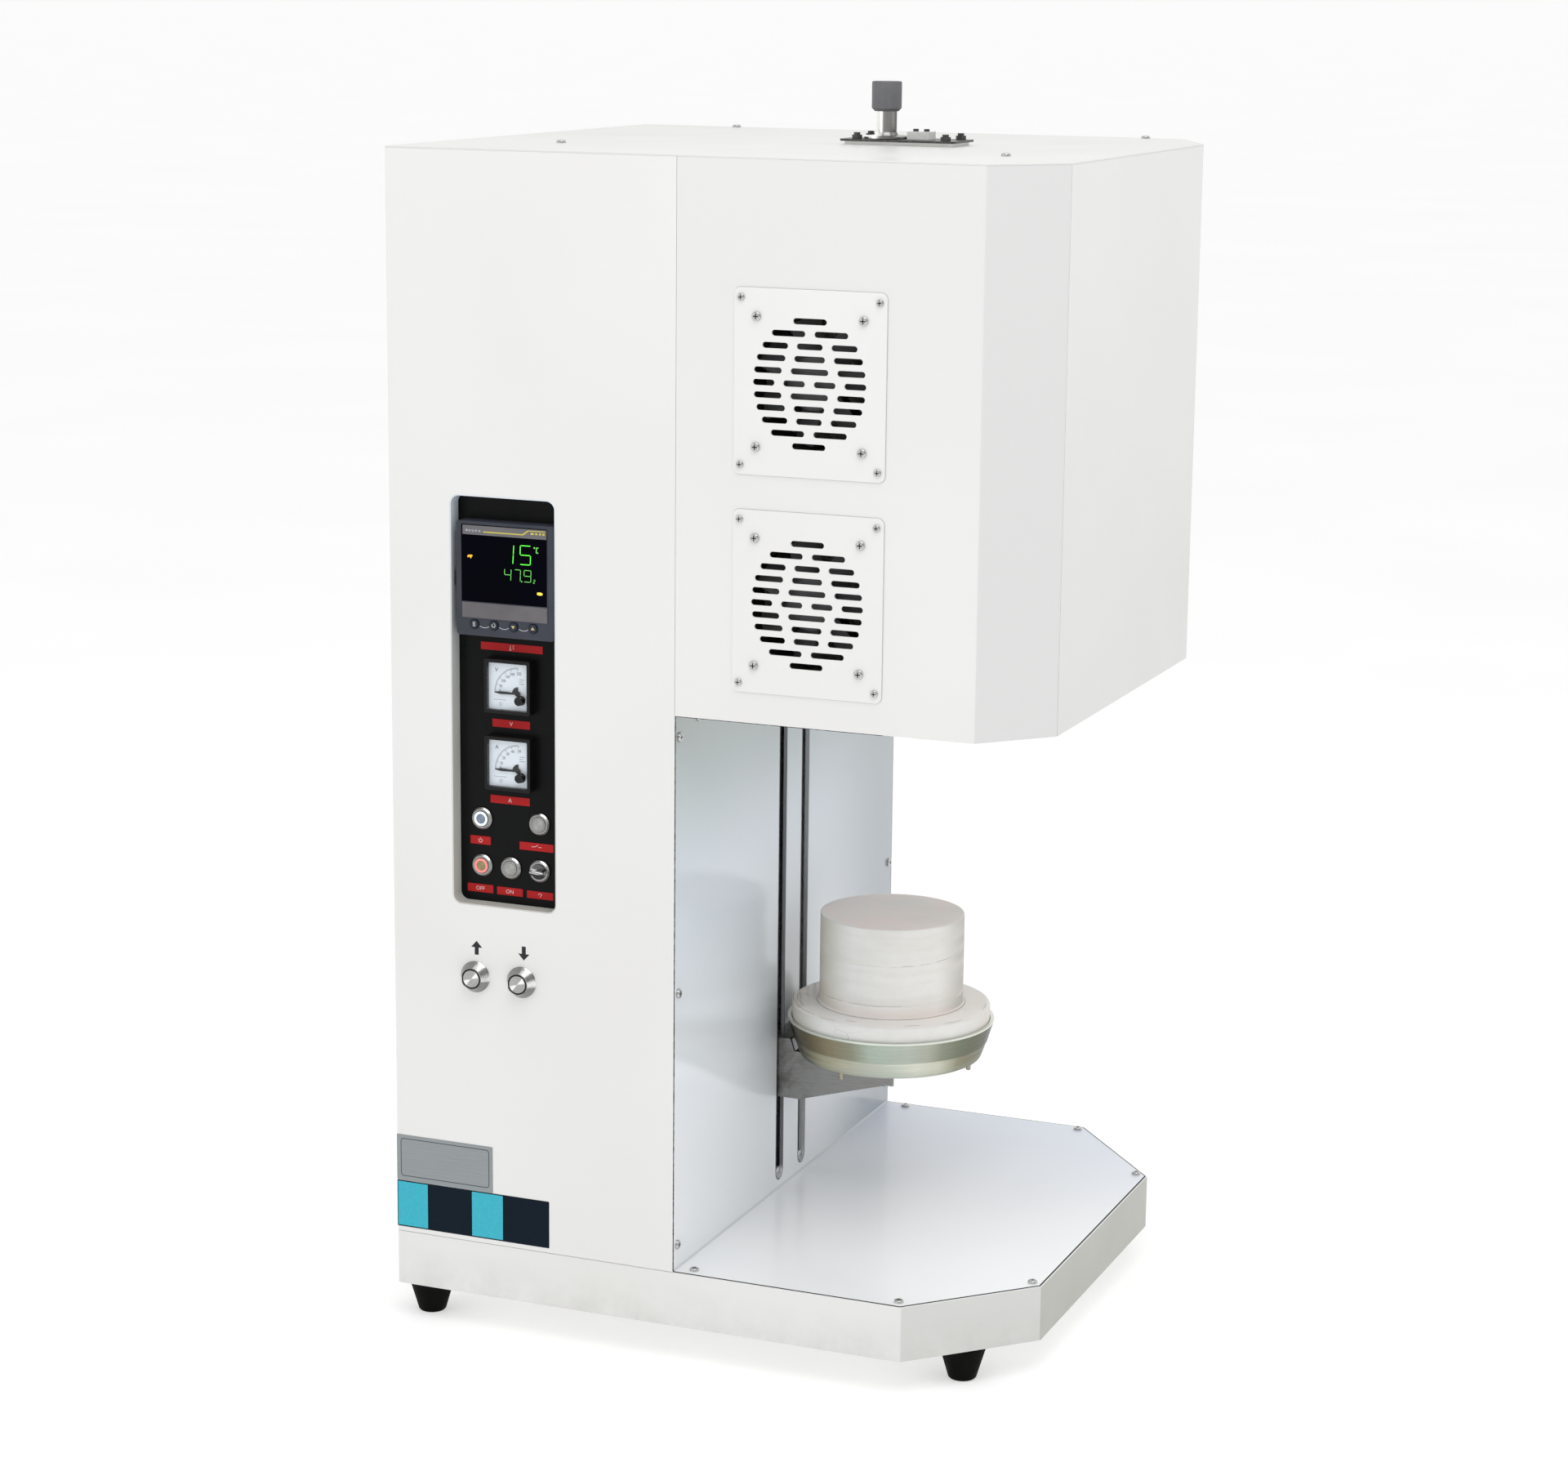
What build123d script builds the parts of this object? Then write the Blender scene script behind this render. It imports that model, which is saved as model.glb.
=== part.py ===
from build123d import *
import math
import os

os.makedirs("parts", exist_ok=True)

# ---------------------------------------------------------------------------
# Driving dimensions, mm. Working frame: x from the cabinet's left side,
# y from its front face towards the back, z up from the base skirt's lower edge.
# ---------------------------------------------------------------------------
T = 1.5                    # sheet thickness
CAB_H = 1060.0             # cabinet height over the skirt's lower edge
CAB_D = 560.0              # cabinet depth
COL_W = 283.0              # column width
HEAD_Z = 570.0             # underside of the head
HEAD_PTS = [(0, 0), (563, 0), (618, 60), (618, 466), (571, 560), (0, 560)]
FAR_R = 25.0               # bend at the head's rear right corner
BASE_PTS = [(0, 0), (505, 0), (604, 102), (604, 436), (500, 560), (0, 560)]
SKIRT_Z = 51.5             # top of the skirt
PLATE_Z = 52.0             # top of the base plate
SEAM = 0.4                 # gap between two panels of the head and column
FOOT_H = 33.0
FOOT_RT, FOOT_RB = 21.5, 12.4
FEET = [(21.5, 29), (541, 69), (21.5, 531), (536, 484)]

CX, CY = 386.0, 286.0      # axis of the chamber and of the platform

SLOT_Y = (257.5, 314.5)    # lift slots in the inner wall
SLOT_W = 19.0
SLOT_Z = (60.0, 556.0)

FAN_X = 408.0
FAN_Z = (869.5, 678.0)
FAN_PLATE = (140.0, 161.0)
FAN_SMALL = (63.5, 72.0)   # half pitches of the small screws
FAN_BIG = (49.0, 56.15)    # half pitches of the larger screws
FAN_BOX = 120.0
FAN_BORE = 56.5

REC_X = (62.0, 167.0)      # control recess opening
REC_Z = (376.0, 754.0)
REC_R = 9.0
REC_D = 15.0               # depth to the fascia
CTL_X, CTL_Z = 117.0, 678.8
CTL_W, CTL_H = 97.0, 104.0
KEYS_X = (87.0, 106.5, 126.0, 145.5)
KEYS_Z = 637.8
MET_X = 116.0
MET_Z = (581.0, 509.8)
NEEDLE_DX, NEEDLE_DZ = 9.7, -5.8
KNOB_DX, KNOB_DZ = 14.0, -11.0
SW = {"power": (85.5, 455.0), "open": (143.5, 455.0), "stop": (85.5, 411.0),
      "start": (114.5, 411.0), "select": (143.5, 411.0)}
PLAT = {"up": (84.5, 308.5), "down": (131.5, 308.5)}

ROD_X, ROD_Y, ROD_R = 238.0, (266.0, 306.0), 6.0
SCR_X, SCR_Y, SCR_R = 266.0, 286.0, 8.0
LIFT_DOWN, LIFT_UP = 75.0, 337.5

RIM_Z, DISH_Z = 232.0, 194.0
BOARD_TOP = 247.5
HEARTH_R, HEARTH_TOP = 69.3, 334.8
HEARTH_SEAMS = (261.0, 299.0)

TC_X, TC_Y = 366.8, 286.0  # thermocouple
TC_TOP = 1117.0

Y_FRONT = -9.4             # face of the platform buttons
Y_BACK = 578.4             # end of the cable gland

# row frame: bounding box centre in x and y, floor at z = 0
OX, OY, OZ = -309.0, -(Y_FRONT + Y_BACK) / 2, FOOT_H


# ---------------------------------------------------------------------------
# helpers
# ---------------------------------------------------------------------------
def save(name, shape):
    if isinstance(shape, (list, tuple)):
        shape = Compound(children=[s for s in shape])
    export_step(shape.moved(Location((OX, OY, OZ))), f"parts/{name}.step")


def bx(x0, x1, y0, y1, z0, z1):
    return Pos((x0 + x1) / 2, (y0 + y1) / 2, (z0 + z1) / 2) * Box(x1 - x0, y1 - y0, z1 - z0)


def cz(x, y, z0, z1, r):
    return Pos(x, y, (z0 + z1) / 2) * Cylinder(r, z1 - z0)


def cy(x, z, y0, y1, r):
    return Pos(x, (y0 + y1) / 2, z) * Rot(90, 0, 0) * Cylinder(r, y1 - y0)


def cxx(y, z, x0, x1, r):
    return Pos((x0 + x1) / 2, y, z) * Rot(0, 90, 0) * Cylinder(r, x1 - x0)


def prism(pts, z0, z1):
    f = make_face(Polyline(*[(p[0], p[1], z0) for p in pts], close=True))
    return extrude(f, amount=z1 - z0, dir=(0, 0, 1))


def yprism(pts, y0, y1):
    f = make_face(Polyline(*[(p[0], y0, p[1]) for p in pts], close=True))
    return extrude(f, amount=y1 - y0, dir=(0, 1, 0))


def inset(pts, d):
    """Polygon moved inwards by d; points run anticlockwise."""
    n = len(pts)
    lines = []
    for i in range(n):
        (x0, y0), (x1, y1) = pts[i], pts[(i + 1) % n]
        L = math.hypot(x1 - x0, y1 - y0)
        nx, ny = -(y1 - y0) / L, (x1 - x0) / L
        lines.append((x0 + nx * d, y0 + ny * d, x1 - x0, y1 - y0))
    out = []
    for i in range(n):
        x0, y0, dx0, dy0 = lines[i - 1]
        x1, y1, dx1, dy1 = lines[i]
        det = dx0 * dy1 - dy0 * dx1
        t = ((x1 - x0) * dy1 - (y1 - y0) * dx1) / det
        out.append((x0 + dx0 * t, y0 + dy0 * t))
    return out


def fil_v(solid, pts, r):
    """Fillet the upright edges at the given (x, y) places."""
    es = [e for e in solid.edges().filter_by(Axis.Z)
          if any(math.hypot(e.center().X - p[0], e.center().Y - p[1]) < 0.2 for p in pts)]
    return fillet(es, r) if es else solid


def front(x, z, y):
    """Plane facing the front, its local axes along x and z."""
    return Plane(origin=(x, y, z), x_dir=(1, 0, 0), z_dir=(0, -1, 0))


def rr(x, z, w, h, r, y0, y1):
    """Rounded rectangle in the front plane, from y0 back to y1."""
    return extrude(front(x, z, y1) * RectangleRounded(w, h, r), amount=y1 - y0)


def revolve_z(x, y, pts):
    f = make_face(Polyline(*[(p[0], 0, p[1]) for p in pts], close=True))
    return Pos(x, y, 0) * revolve(f, Axis.Z, 360)


def revolve_y(x, z, pts):
    """pts are (radius, y)."""
    f = make_face(Polyline(*[(p[0], p[1], 0) for p in pts], close=True))
    return Pos(x, 0, z) * revolve(f, Axis.Y, 360)


def pan(place, rh, hh, rs, length):
    """Pan-head screw: the head stands on the local plane, the shank goes down."""
    head = Pos(0, 0, hh / 2) * Cylinder(rh, hh)
    head = fillet(head.edges().group_by(Axis.Z)[-1], hh * 0.55)
    cross = (Pos(0, 0, hh) * Box(rh * 1.15, rh * 0.26, hh * 0.9)
             + Pos(0, 0, hh) * Box(rh * 0.26, rh * 1.15, hh * 0.9))
    s = head - cross + Pos(0, 0, -length / 2) * Cylinder(rs, length)
    return place * s


UP = lambda x, y, z: Location(Plane(origin=(x, y, z), x_dir=(1, 0, 0), z_dir=(0, 0, 1)))
DOWN = lambda x, y, z: Location(Plane(origin=(x, y, z), x_dir=(1, 0, 0), z_dir=(0, 0, -1)))
FRONT = lambda x, z, y: Location(Plane(origin=(x, y, z), x_dir=(1, 0, 0), z_dir=(0, -1, 0)))
BACK = lambda x, z, y: Location(Plane(origin=(x, y, z), x_dir=(1, 0, 0), z_dir=(0, 1, 0)))
RIGHT = lambda y, z, x: Location(Plane(origin=(x, y, z), x_dir=(0, 1, 0), z_dir=(1, 0, 0)))

PR, PH, PS, PL = 4.4, 2.6, 2.0, 5.0    # panel screw head radius, height, shank, length
SH = 2.05                              # hole for its shank

# ---------------------------------------------------------------------------
# base
# ---------------------------------------------------------------------------
BASE_SCREWS = [(300, 12), (499.5, 11.5), (593.5, 107), (592, 437), (496, 549), (307, 549)]

tray = prism(BASE_PTS, 0, SKIRT_Z)
tray = fil_v(tray, BASE_PTS, 3.0)
tray = fillet(tray.edges().group_by(Axis.Z)[-1], 0.9)
tray -= fil_v(prism(inset(BASE_PTS, T), T, 48.4), inset(BASE_PTS, T), 1.5)
tray -= prism(inset(BASE_PTS, 17), 48.0, 50.2)
tray -= fil_v(prism(inset(BASE_PTS, T), 50.0, SKIRT_Z + 1), inset(BASE_PTS, T), 1.5)
for x, y in BASE_SCREWS:
    tray -= cz(x, y, 44, 52, SH)
for x, y in FEET:
    tray -= cz(x, y, -1, 3, 4.15)
save("base_tray", tray)

pts = inset(BASE_PTS, 2.7)
bp = prism(pts, 50.0, PLATE_Z)
bp = fil_v(bp, pts[1:5], 2.0)
bp &= bx(COL_W + 0.6, 700, -50, 700, 40, 60)
for x, y in BASE_SCREWS:
    bp -= cz(x, y, 44, 60, SH)
save("base_top_plate", bp)

feet, bolts = [], []
for x, y in FEET:
    f = revolve_z(x, y, [(4.15, 0), (FOOT_RT, 0), (FOOT_RT, -3), (FOOT_RB + 0.6, -31.6), (FOOT_RB - 0.8, -FOOT_H),
                         (7.4, -FOOT_H), (7.4, -24), (4.15, -24)])
    feet.append(f)
    head = Pos(x, y, -26.2) * extrude(RegularPolygon(6.4, 6), amount=4.0, both=False)
    head = Pos(0, 0, -2.0) * head
    b = head + cz(x, y, -24.2, 9.0, 4.0)
    bolts.append(b)
    nut = Pos(x, y, T) * extrude(RegularPolygon(7.2, 6), amount=5.0) - cz(x, y, 0, 10, 4.05)
    bolts.append(nut)
save("rubber_feet", feet)
save("foot_bolts", bolts)

# ---------------------------------------------------------------------------
# cabinet walls: one ring in plan, parted into the panels
# ---------------------------------------------------------------------------
def ring(z0, z1):
    o = prism(HEAD_PTS, z0, z1)
    o = fil_v(o, [HEAD_PTS[0], HEAD_PTS[1], HEAD_PTS[2], HEAD_PTS[4], HEAD_PTS[5]], 3.0)
    o = fil_v(o, [HEAD_PTS[3]], FAR_R)
    ip = inset(HEAD_PTS, T)
    i = prism(ip, z0 - 1, z1 + 1)
    i = fil_v(i, [ip[0], ip[1], ip[2], ip[4], ip[5]], 1.5)
    i = fil_v(i, [ip[3]], FAR_R - T)
    return o - i


WALL_TOP = CAB_H - T - 0.1
col_ring = ring(PLATE_Z, WALL_TOP)
head_ring = ring(HEAD_Z, WALL_TOP)

front_panel = col_ring & bx(-10, COL_W, -10, 14, 0, 2000)
front_panel -= rr(sum(REC_X) / 2, sum(REC_Z) / 2, REC_X[1] - REC_X[0], REC_Z[1] - REC_Z[0], REC_R, -5, 10)
for x, z in PLAT.values():
    front_panel -= cy(x, z, -5, 5, 12.0)
save("column_front_panel", front_panel)

side_panel = col_ring & bx(-10, 10, 14.4, 545.6, 0, 2000)
louv = []
for k in range(9):
    for zc in (150, 900):
        louv.append(Pos(0, 280, zc + 12 * (k - 4)) * Rot(0, 90, 0) * Rot(0, 0, 90) * extrude(SlotOverall(150, 4.6), amount=6, both=True))
for l in louv:
    side_panel -= l
save("column_side_panel", side_panel)

REAR_SCREWS = [(12, 75), (12, 560), (12, 1045), (270, 75), (270, 545), (300, 585), (300, 1045), (560, 585), (560, 1045)]
rear = (col_ring & bx(-10, COL_W, 546, 600, 0, HEAD_Z)) + (head_ring & bx(-10, 560.5, 546, 600, 0, 2000))
rear += head_ring & bx(560, 700, 558.9, 600, 0, 2000)
for k in range(10):
    for xc, zc in ((95, 240), (430, 930)):
        rear -= extrude(front(xc, zc + 12 * (k - 4.5), 570) * SlotOverall(100, 4.6), amount=20)
for x, z in REAR_SCREWS:
    rear -= cy(x, z, 550, 570, SH)
rear -= cy(60, 110, 550, 570, 10.1)
save("rear_panel", rear)

head_front = head_ring & bx(COL_W + SEAM, 700, -10, 60.0, 0, 2000)
for z in FAN_Z:
    head_front -= cy(FAN_X, z, -5, 5, 60.0)
    for sx in (-1, 1):
        for sz in (-1, 1):
            head_front -= cy(FAN_X + sx * FAN_SMALL[0], z + sz * FAN_SMALL[1], -5, 5, 1.5)
            head_front -= cy(FAN_X + sx * FAN_BIG[0], z + sz * FAN_BIG[1], -5, 5, 2.0)
save("head_front_panel", head_front)

head_side = head_ring & bx(561.0, 700, 60.5, 558.4, 0, 2000)
save("head_side_panel", head_side)

WALL_SCREWS = [(10.5, 549), (10.5, 313), (10.5, 75), (549, 549), (549, 313), (549, 75), (52, 560), (508, 560)]
wall = bx(COL_W - T, COL_W, 2.6, 557.4, 50.4, 569.6)
for y in SLOT_Y:
    wall -= Pos(COL_W, y, sum(SLOT_Z) / 2) * Rot(0, 90, 0) * extrude(
        SlotOverall(SLOT_Z[1] - SLOT_Z[0], SLOT_W), amount=10, both=True)
for y, z in WALL_SCREWS:
    wall -= cxx(y, z, COL_W - 5, COL_W + 5, SH)
save("inner_wall_panel", wall)

BOTTOM_SCREWS = [(298, 16), (545, 16), (602, 440), (298, 545), (560, 540)]
pts = inset(HEAD_PTS, T + 0.3)
hb = prism(pts, HEAD_Z, HEAD_Z + 2) & bx(COL_W + SEAM, 700, -10, 700, 0, 2000)
hb -= cz(CX, CY, HEAD_Z - 5, HEAD_Z + 5, 97.0)
for x, y in BOTTOM_SCREWS:
    hb -= cz(x, y, HEAD_Z - 5, HEAD_Z + 5, SH)
save("head_bottom_plate", hb)

TOP_SCREWS = [(108, 137), (534, 135), (537, 546), (108, 546)]
TCB = [(345, 268), (431, 268), (345, 304), (433, 304), (400, 306)]
top = prism(HEAD_PTS, CAB_H - T, CAB_H)
top = fil_v(top, [HEAD_PTS[i] for i in (0, 1, 2, 4, 5)], 3.0)
top = fil_v(top, [HEAD_PTS[3]], FAR_R)
top = fillet(top.edges().group_by(Axis.Z)[-1], 1.2)
for x, y in TOP_SCREWS:
    top -= cz(x, y, CAB_H - 5, CAB_H + 5, SH)
for x, y in TCB:
    top -= cz(x, y, CAB_H - 5, CAB_H + 5, 3.05)
top -= cz(TC_X, TC_Y, CAB_H - 5, CAB_H + 5, 6.1)
save("top_cover", top)

screws = [pan(UP(x, y, PLATE_Z), PR, PH, PS, PL) for x, y in BASE_SCREWS]
screws += [pan(RIGHT(y, z, COL_W), PR, PH, PS, PL) for y, z in WALL_SCREWS]
screws += [pan(UP(x, y, CAB_H), PR, PH, PS, PL) for x, y in TOP_SCREWS]
screws += [pan(BACK(x, z, CAB_D), PR, PH, PS, PL) for x, z in REAR_SCREWS]
screws += [pan(DOWN(x, y, HEAD_Z), PR, PH, PS, PL) for x, y in BOTTOM_SCREWS]
save("panel_screws", screws)

# ---------------------------------------------------------------------------
# fans
# ---------------------------------------------------------------------------
KX, KZ = 0.933, 1.07       # width and height of the slot pattern against a round one
ROWS = {5: [(0, 33)], 4: [(-21, 33), (21, 33)], 3: [(-34, 25.4), (0, 25.4), (34, 25.4)],
        2: [(-38, 28.4), (0, 30.2), (38, 28.4)], 1: [(-41.05, 27.4), (0, 37), (41.05, 27.4)],
        0: [(-45.1, 21.3), (-15.05, 21.3), (15.05, 21.3), (45.1, 21.3)]}


def fan_plate(zc):
    sk = RectangleRounded(FAN_PLATE[0], FAN_PLATE[1], 6)
    for k in range(-5, 6):
        for xm, w in ROWS[abs(k)]:
            sk -= Pos(xm * KX, k * 10 * KZ) * SlotOverall(w * KX, 5.3)
    p = extrude(front(FAN_X, zc, 0) * sk, amount=T)
    p = fillet(p.edges().group_by(Axis.Y)[0].filter_by(lambda e: e.length > 100 or abs(e.length - 6 * math.pi / 2) < 0.2), 0.5)
    for sx in (-1, 1):
        for sz in (-1, 1):
            p -= cy(FAN_X + sx * FAN_SMALL[0], zc + sz * FAN_SMALL[1], -5, 5, 1.5)
            p -= cy(FAN_X + sx * FAN_BIG[0], zc + sz * FAN_BIG[1], -5, 5, 2.0)
    return p


save("fan_plates", [fan_plate(z) for z in FAN_Z])

fs = []
for z in FAN_Z:
    for sx in (-1, 1):
        for sz in (-1, 1):
            fs.append(pan(FRONT(FAN_X + sx * FAN_SMALL[0], z + sz * FAN_SMALL[1], -T), 3.4, 2.0, 1.45, 6))
            fs.append(pan(FRONT(FAN_X + sx * FAN_BIG[0], z + sz * FAN_BIG[1], -T), 4.2, 2.6, 1.95, 16))
save("fan_screws", fs)


def fan_frame(zc):
    f = rr(FAN_X, zc, FAN_BOX, FAN_BOX, 5, T + 0.1, 39.6)
    f -= cy(FAN_X, zc, 0, 45, FAN_BORE)
    web = cy(FAN_X, zc, 34.6, 39.6, 25.0)
    for a in (45, 135):
        web += Pos(FAN_X, 37.1, zc) * Rot(0, a, 0) * Box(2 * FAN_BORE + 3, 5.0, 7)
    f += web
    f -= cy(FAN_X, zc, 30, 45, 2.55)
    for sx in (-1, 1):
        for sz in (-1, 1):
            f -= cy(FAN_X + sx * FAN_BIG[0], zc + sz * FAN_BIG[1], 0, 45, 2.0)
    return f


save("fan_frames", [fan_frame(z) for z in FAN_Z])


def fan_rotor(zc):
    h = cy(FAN_X, zc, 8.0, 33.4, 24.0)
    h = fillet(h.edges().group_by(Axis.Y)[0], 2.0)
    blades = []
    for i in range(7):
        b = Rot(0, i * 360 / 7, 0) * Pos(39.5, 0, 0) * Rot(36, 0, 0) * Box(36, 1.8, 27)
        blades.append(b)
    lim = Pos(0, 0, 0) * Rot(90, 0, 0) * Cylinder(55.0, 60)
    for b in blades:
        h += Pos(FAN_X, 19.5, zc) * (b & lim)
    h += cy(FAN_X, zc, 33.0, 38.8, 2.5)
    return h


save("fan_rotor_upper", fan_rotor(FAN_Z[0]))
save("fan_rotor_lower", fan_rotor(FAN_Z[1]))

# ---------------------------------------------------------------------------
# control recess
# ---------------------------------------------------------------------------
rcx, rcz = sum(REC_X) / 2, sum(REC_Z) / 2
rw, rh = REC_X[1] - REC_X[0], REC_Z[1] - REC_Z[0]
rtray = rr(rcx, rcz, rw - 0.2, rh - 0.2, REC_R - 0.1, 0.2, REC_D)
rtray += rr(rcx, rcz, rw + 14, rh + 14, REC_R + 6, T + 0.1, T + 1.7)
rtray -= rr(rcx, rcz, rw - 2.2, rh - 2.2, REC_R - 1.1, -5, REC_D + 5)
save("control_recess_tray", rtray)

fascia = rr(rcx, rcz, rw + 10, rh + 10, REC_R + 4, REC_D, REC_D + 2)
fascia -= rr(CTL_X, CTL_Z, 90.6, 96.6, 0.6, 0, 30)
for z in MET_Z:
    fascia -= cy(MET_X, z, 0, 30, 19.2)
for x, z in SW.values():
    fascia -= cy(x, z, 0, 30, 9.55)
save("control_fascia", fascia)

ctl = rr(CTL_X, CTL_Z, CTL_W, CTL_H, 3.0, -1.0, REC_D)
ctl = fillet(ctl.edges().group_by(Axis.Y)[0], 1.4)
ctl += bx(CTL_X - 45, CTL_X + 45, REC_D - 1, 92, CTL_Z - 48, CTL_Z + 48)
ctl -= rr(116.75, 693.0, 85.5, 70.0, 1.0, -5, 0.6)
for x in KEYS_X:
    ctl -= cy(x, KEYS_Z, -5, 2.8, 4.25)
save("controller_housing", ctl)
save("controller_display", rr(116.75, 693.0, 85.1, 69.6, 0.8, -0.5, 0.6))

for i, x in enumerate(KEYS_X):
    k = cy(x, KEYS_Z, -2.4, 1.4, 3.95)
    k = fillet(k.edges().group_by(Axis.Y)[0], 0.7)
    save(f"controller_key_{i + 1}", k)

mh, md = [], []
for z in MET_Z:
    h = rr(MET_X, z, 46, 50, 2.0, 4.0, REC_D)
    h = fillet(h.edges().group_by(Axis.Y)[0], 0.8)
    h += cy(MET_X, z, REC_D - 1, 52, 19.0)
    h -= rr(MET_X, z, 40, 43.4, 1.0, 0, 9.0)
    h -= cy(MET_X + NEEDLE_DX, z + NEEDLE_DZ, 8, 10.5, 0.86)
    h -= cy(MET_X + KNOB_DX, z + KNOB_DZ, 8, 12.5, 1.56)
    mh.append(h)
    px, pz = MET_X + NEEDLE_DX, z + NEEDLE_DZ
    mh.append((cy(px, pz, 7.45, 8.0, 6.0) & bx(px - 7, px, 7, 9, pz, pz + 7)) - cy(px, pz, 7, 9, 1.3))
    d = rr(MET_X, z, 39.6, 43.0, 0.8, 8.0, 9.0)
    d -= cy(MET_X + NEEDLE_DX, z + NEEDLE_DZ, 5, 12, 0.9)
    d -= cy(MET_X + KNOB_DX, z + KNOB_DZ, 5, 12, 1.6)
    md.append(d)
save("meter_housings", mh)
save("meter_dials", md)

for name, z in zip(("upper", "lower"), MET_Z):
    px, pz = MET_X + NEEDLE_DX, z + NEEDLE_DZ
    n = cy(px, pz, 5.8, 7.4, 2.4)
    n += yprism([(px + 1, pz + 0.8), (px - 5, pz + 0.85), (px - 17, pz + 1.3), (px - 23.2, pz + 0.2), (px - 23.2, pz - 0.2),
                 (px - 17, pz - 1.3), (px - 5, pz - 0.85), (px + 1, pz - 0.8)], 6.3, 6.9)
    n += cy(px, pz, 7.0, 9.9, 0.8)
    save(f"meter_needle_{name}", n)
    kx, kz = MET_X + KNOB_DX, z + KNOB_DZ
    k = cy(kx, kz, -1.4, 3.6, 4.1)
    k = fillet(k.edges().group_by(Axis.Y)[0], 0.7)
    k -= bx(kx - 3.0, kx + 3.0, -2, -0.8, kz - 0.45, kz + 0.45)
    k += cy(kx, kz, 3.0, 7.8, 2.9) + cy(kx, kz, 7.0, 11.9, 1.5)
    save(f"zero_knob_{name}", k)

bez = []
for x, z in SW.values():
    b = cy(x, z, REC_D - 3.2, REC_D, 10.3)
    b = chamfer(b.edges().group_by(Axis.Y)[0], 1.3)
    b += cy(x, z, REC_D - 1, 34, 9.4)
    b -= cy(x, z, 0, 31, 7.35)
    bez.append(b)
for x, z in PLAT.values():
    b = revolve_y(x, z, [(9.6, Y_FRONT + 0.5), (10.2, Y_FRONT + 0.3), (14.2, -1.5), (14.6, -1.0), (14.6, 0), (11.8, 0), (11.8, 25), (8.4, 25),
                         (8.4, -5.4), (9.6, -5.4)])
    bez.append(b)
save("button_bezels", bez)

for name in ("power", "open", "stop", "start"):
    x, z = SW[name]
    c = cy(x, z, REC_D - 3.9, 25, 7.05)
    c = fillet(c.edges().group_by(Axis.Y)[0], 0.6)
    save(f"{name}_button_cap", c)
x, z = SW["select"]
c = cy(x, z, REC_D - 4.2, 25, 7.05)
bar = Pos(x, 0, z) * Rot(0, -8, 0) * yprism([(-6.6, -2.0), (6.6, -2.0), (7.0, 0), (6.6, 2.0), (-6.6, 2.0), (-7.0, 0)], 5.6, REC_D - 4.0)
bar = chamfer(bar.edges().group_by(Axis.Y)[0], 0.5)
save("selector_knob", c + bar)

for name, (x, z) in PLAT.items():
    c = cy(x, z, Y_FRONT, 14, 8.1)
    c = fillet(c.edges().group_by(Axis.Y)[0], 0.5)
    save(f"platform_{name}_cap", c)

# ---------------------------------------------------------------------------
# thermocouple and chamber
# ---------------------------------------------------------------------------
TP_Z = CAB_H + 3.2         # a fibre pad lies under the mounting plate
pad = bx(335, 439, 262, 310, CAB_H, TP_Z) - cz(TC_X, TC_Y, CAB_H - 1, CAB_H + 5, 6.1)
tp = bx(331, 443, 258, 314, TP_Z, TP_Z + 2)
tp = fil_v(tp, [(331, 258), (443, 258), (331, 314), (443, 314)], 4)
tp += bx(389.5, 411, 279, 297, TP_Z + 1, TP_Z + 9)
tp -= cz(TC_X, TC_Y, CAB_H - 1, CAB_H + 6, 6.1)
grp = []
for x, y in TCB:
    tp -= cz(x, y, CAB_H - 1, CAB_H + 6, 3.05)
    pad -= cz(x, y, CAB_H - 1, CAB_H + 6, 3.05)
    b = Pos(x, y, TP_Z + 2) * extrude(RegularPolygon(5.0, 6), amount=3.6)
    b += cz(x, y, CAB_H - 10, CAB_H + 11, 3.0)
    grp.append(b)
for x, y in ((395, 288), (405.5, 288)):
    grp.append(Pos(x, y, TP_Z + 9) * Cylinder(2.6, 2.4, align=(Align.CENTER, Align.CENTER, Align.MIN)))
save("thermocouple_mount", [tp, pad] + grp)

probe = revolve_z(TC_X, TC_Y, [(0, 830), (4, 830), (6, 833), (6, TP_Z + 2), (21.5, TP_Z + 2), (22, TP_Z + 2.6), (22, TP_Z + 4.0),
                               (21, TP_Z + 4.6), (11.0, TP_Z + 5.4), (9.6, TP_Z + 8), (9.6, CAB_H + 30), (0, CAB_H + 30)])
save("thermocouple_probe", probe)
thead = revolve_z(TC_X, TC_Y, [(0, CAB_H + 30), (11.0, CAB_H + 30), (13.9, CAB_H + 33), (13.9, TC_TOP - 1.0), (13.0, TC_TOP), (0, TC_TOP)])
thead &= Pos(TC_X, TC_Y, CAB_H + 20) * extrude(RegularPolygon(13.8, 14), amount=60)
save("thermocouple_head", thead)

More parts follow.
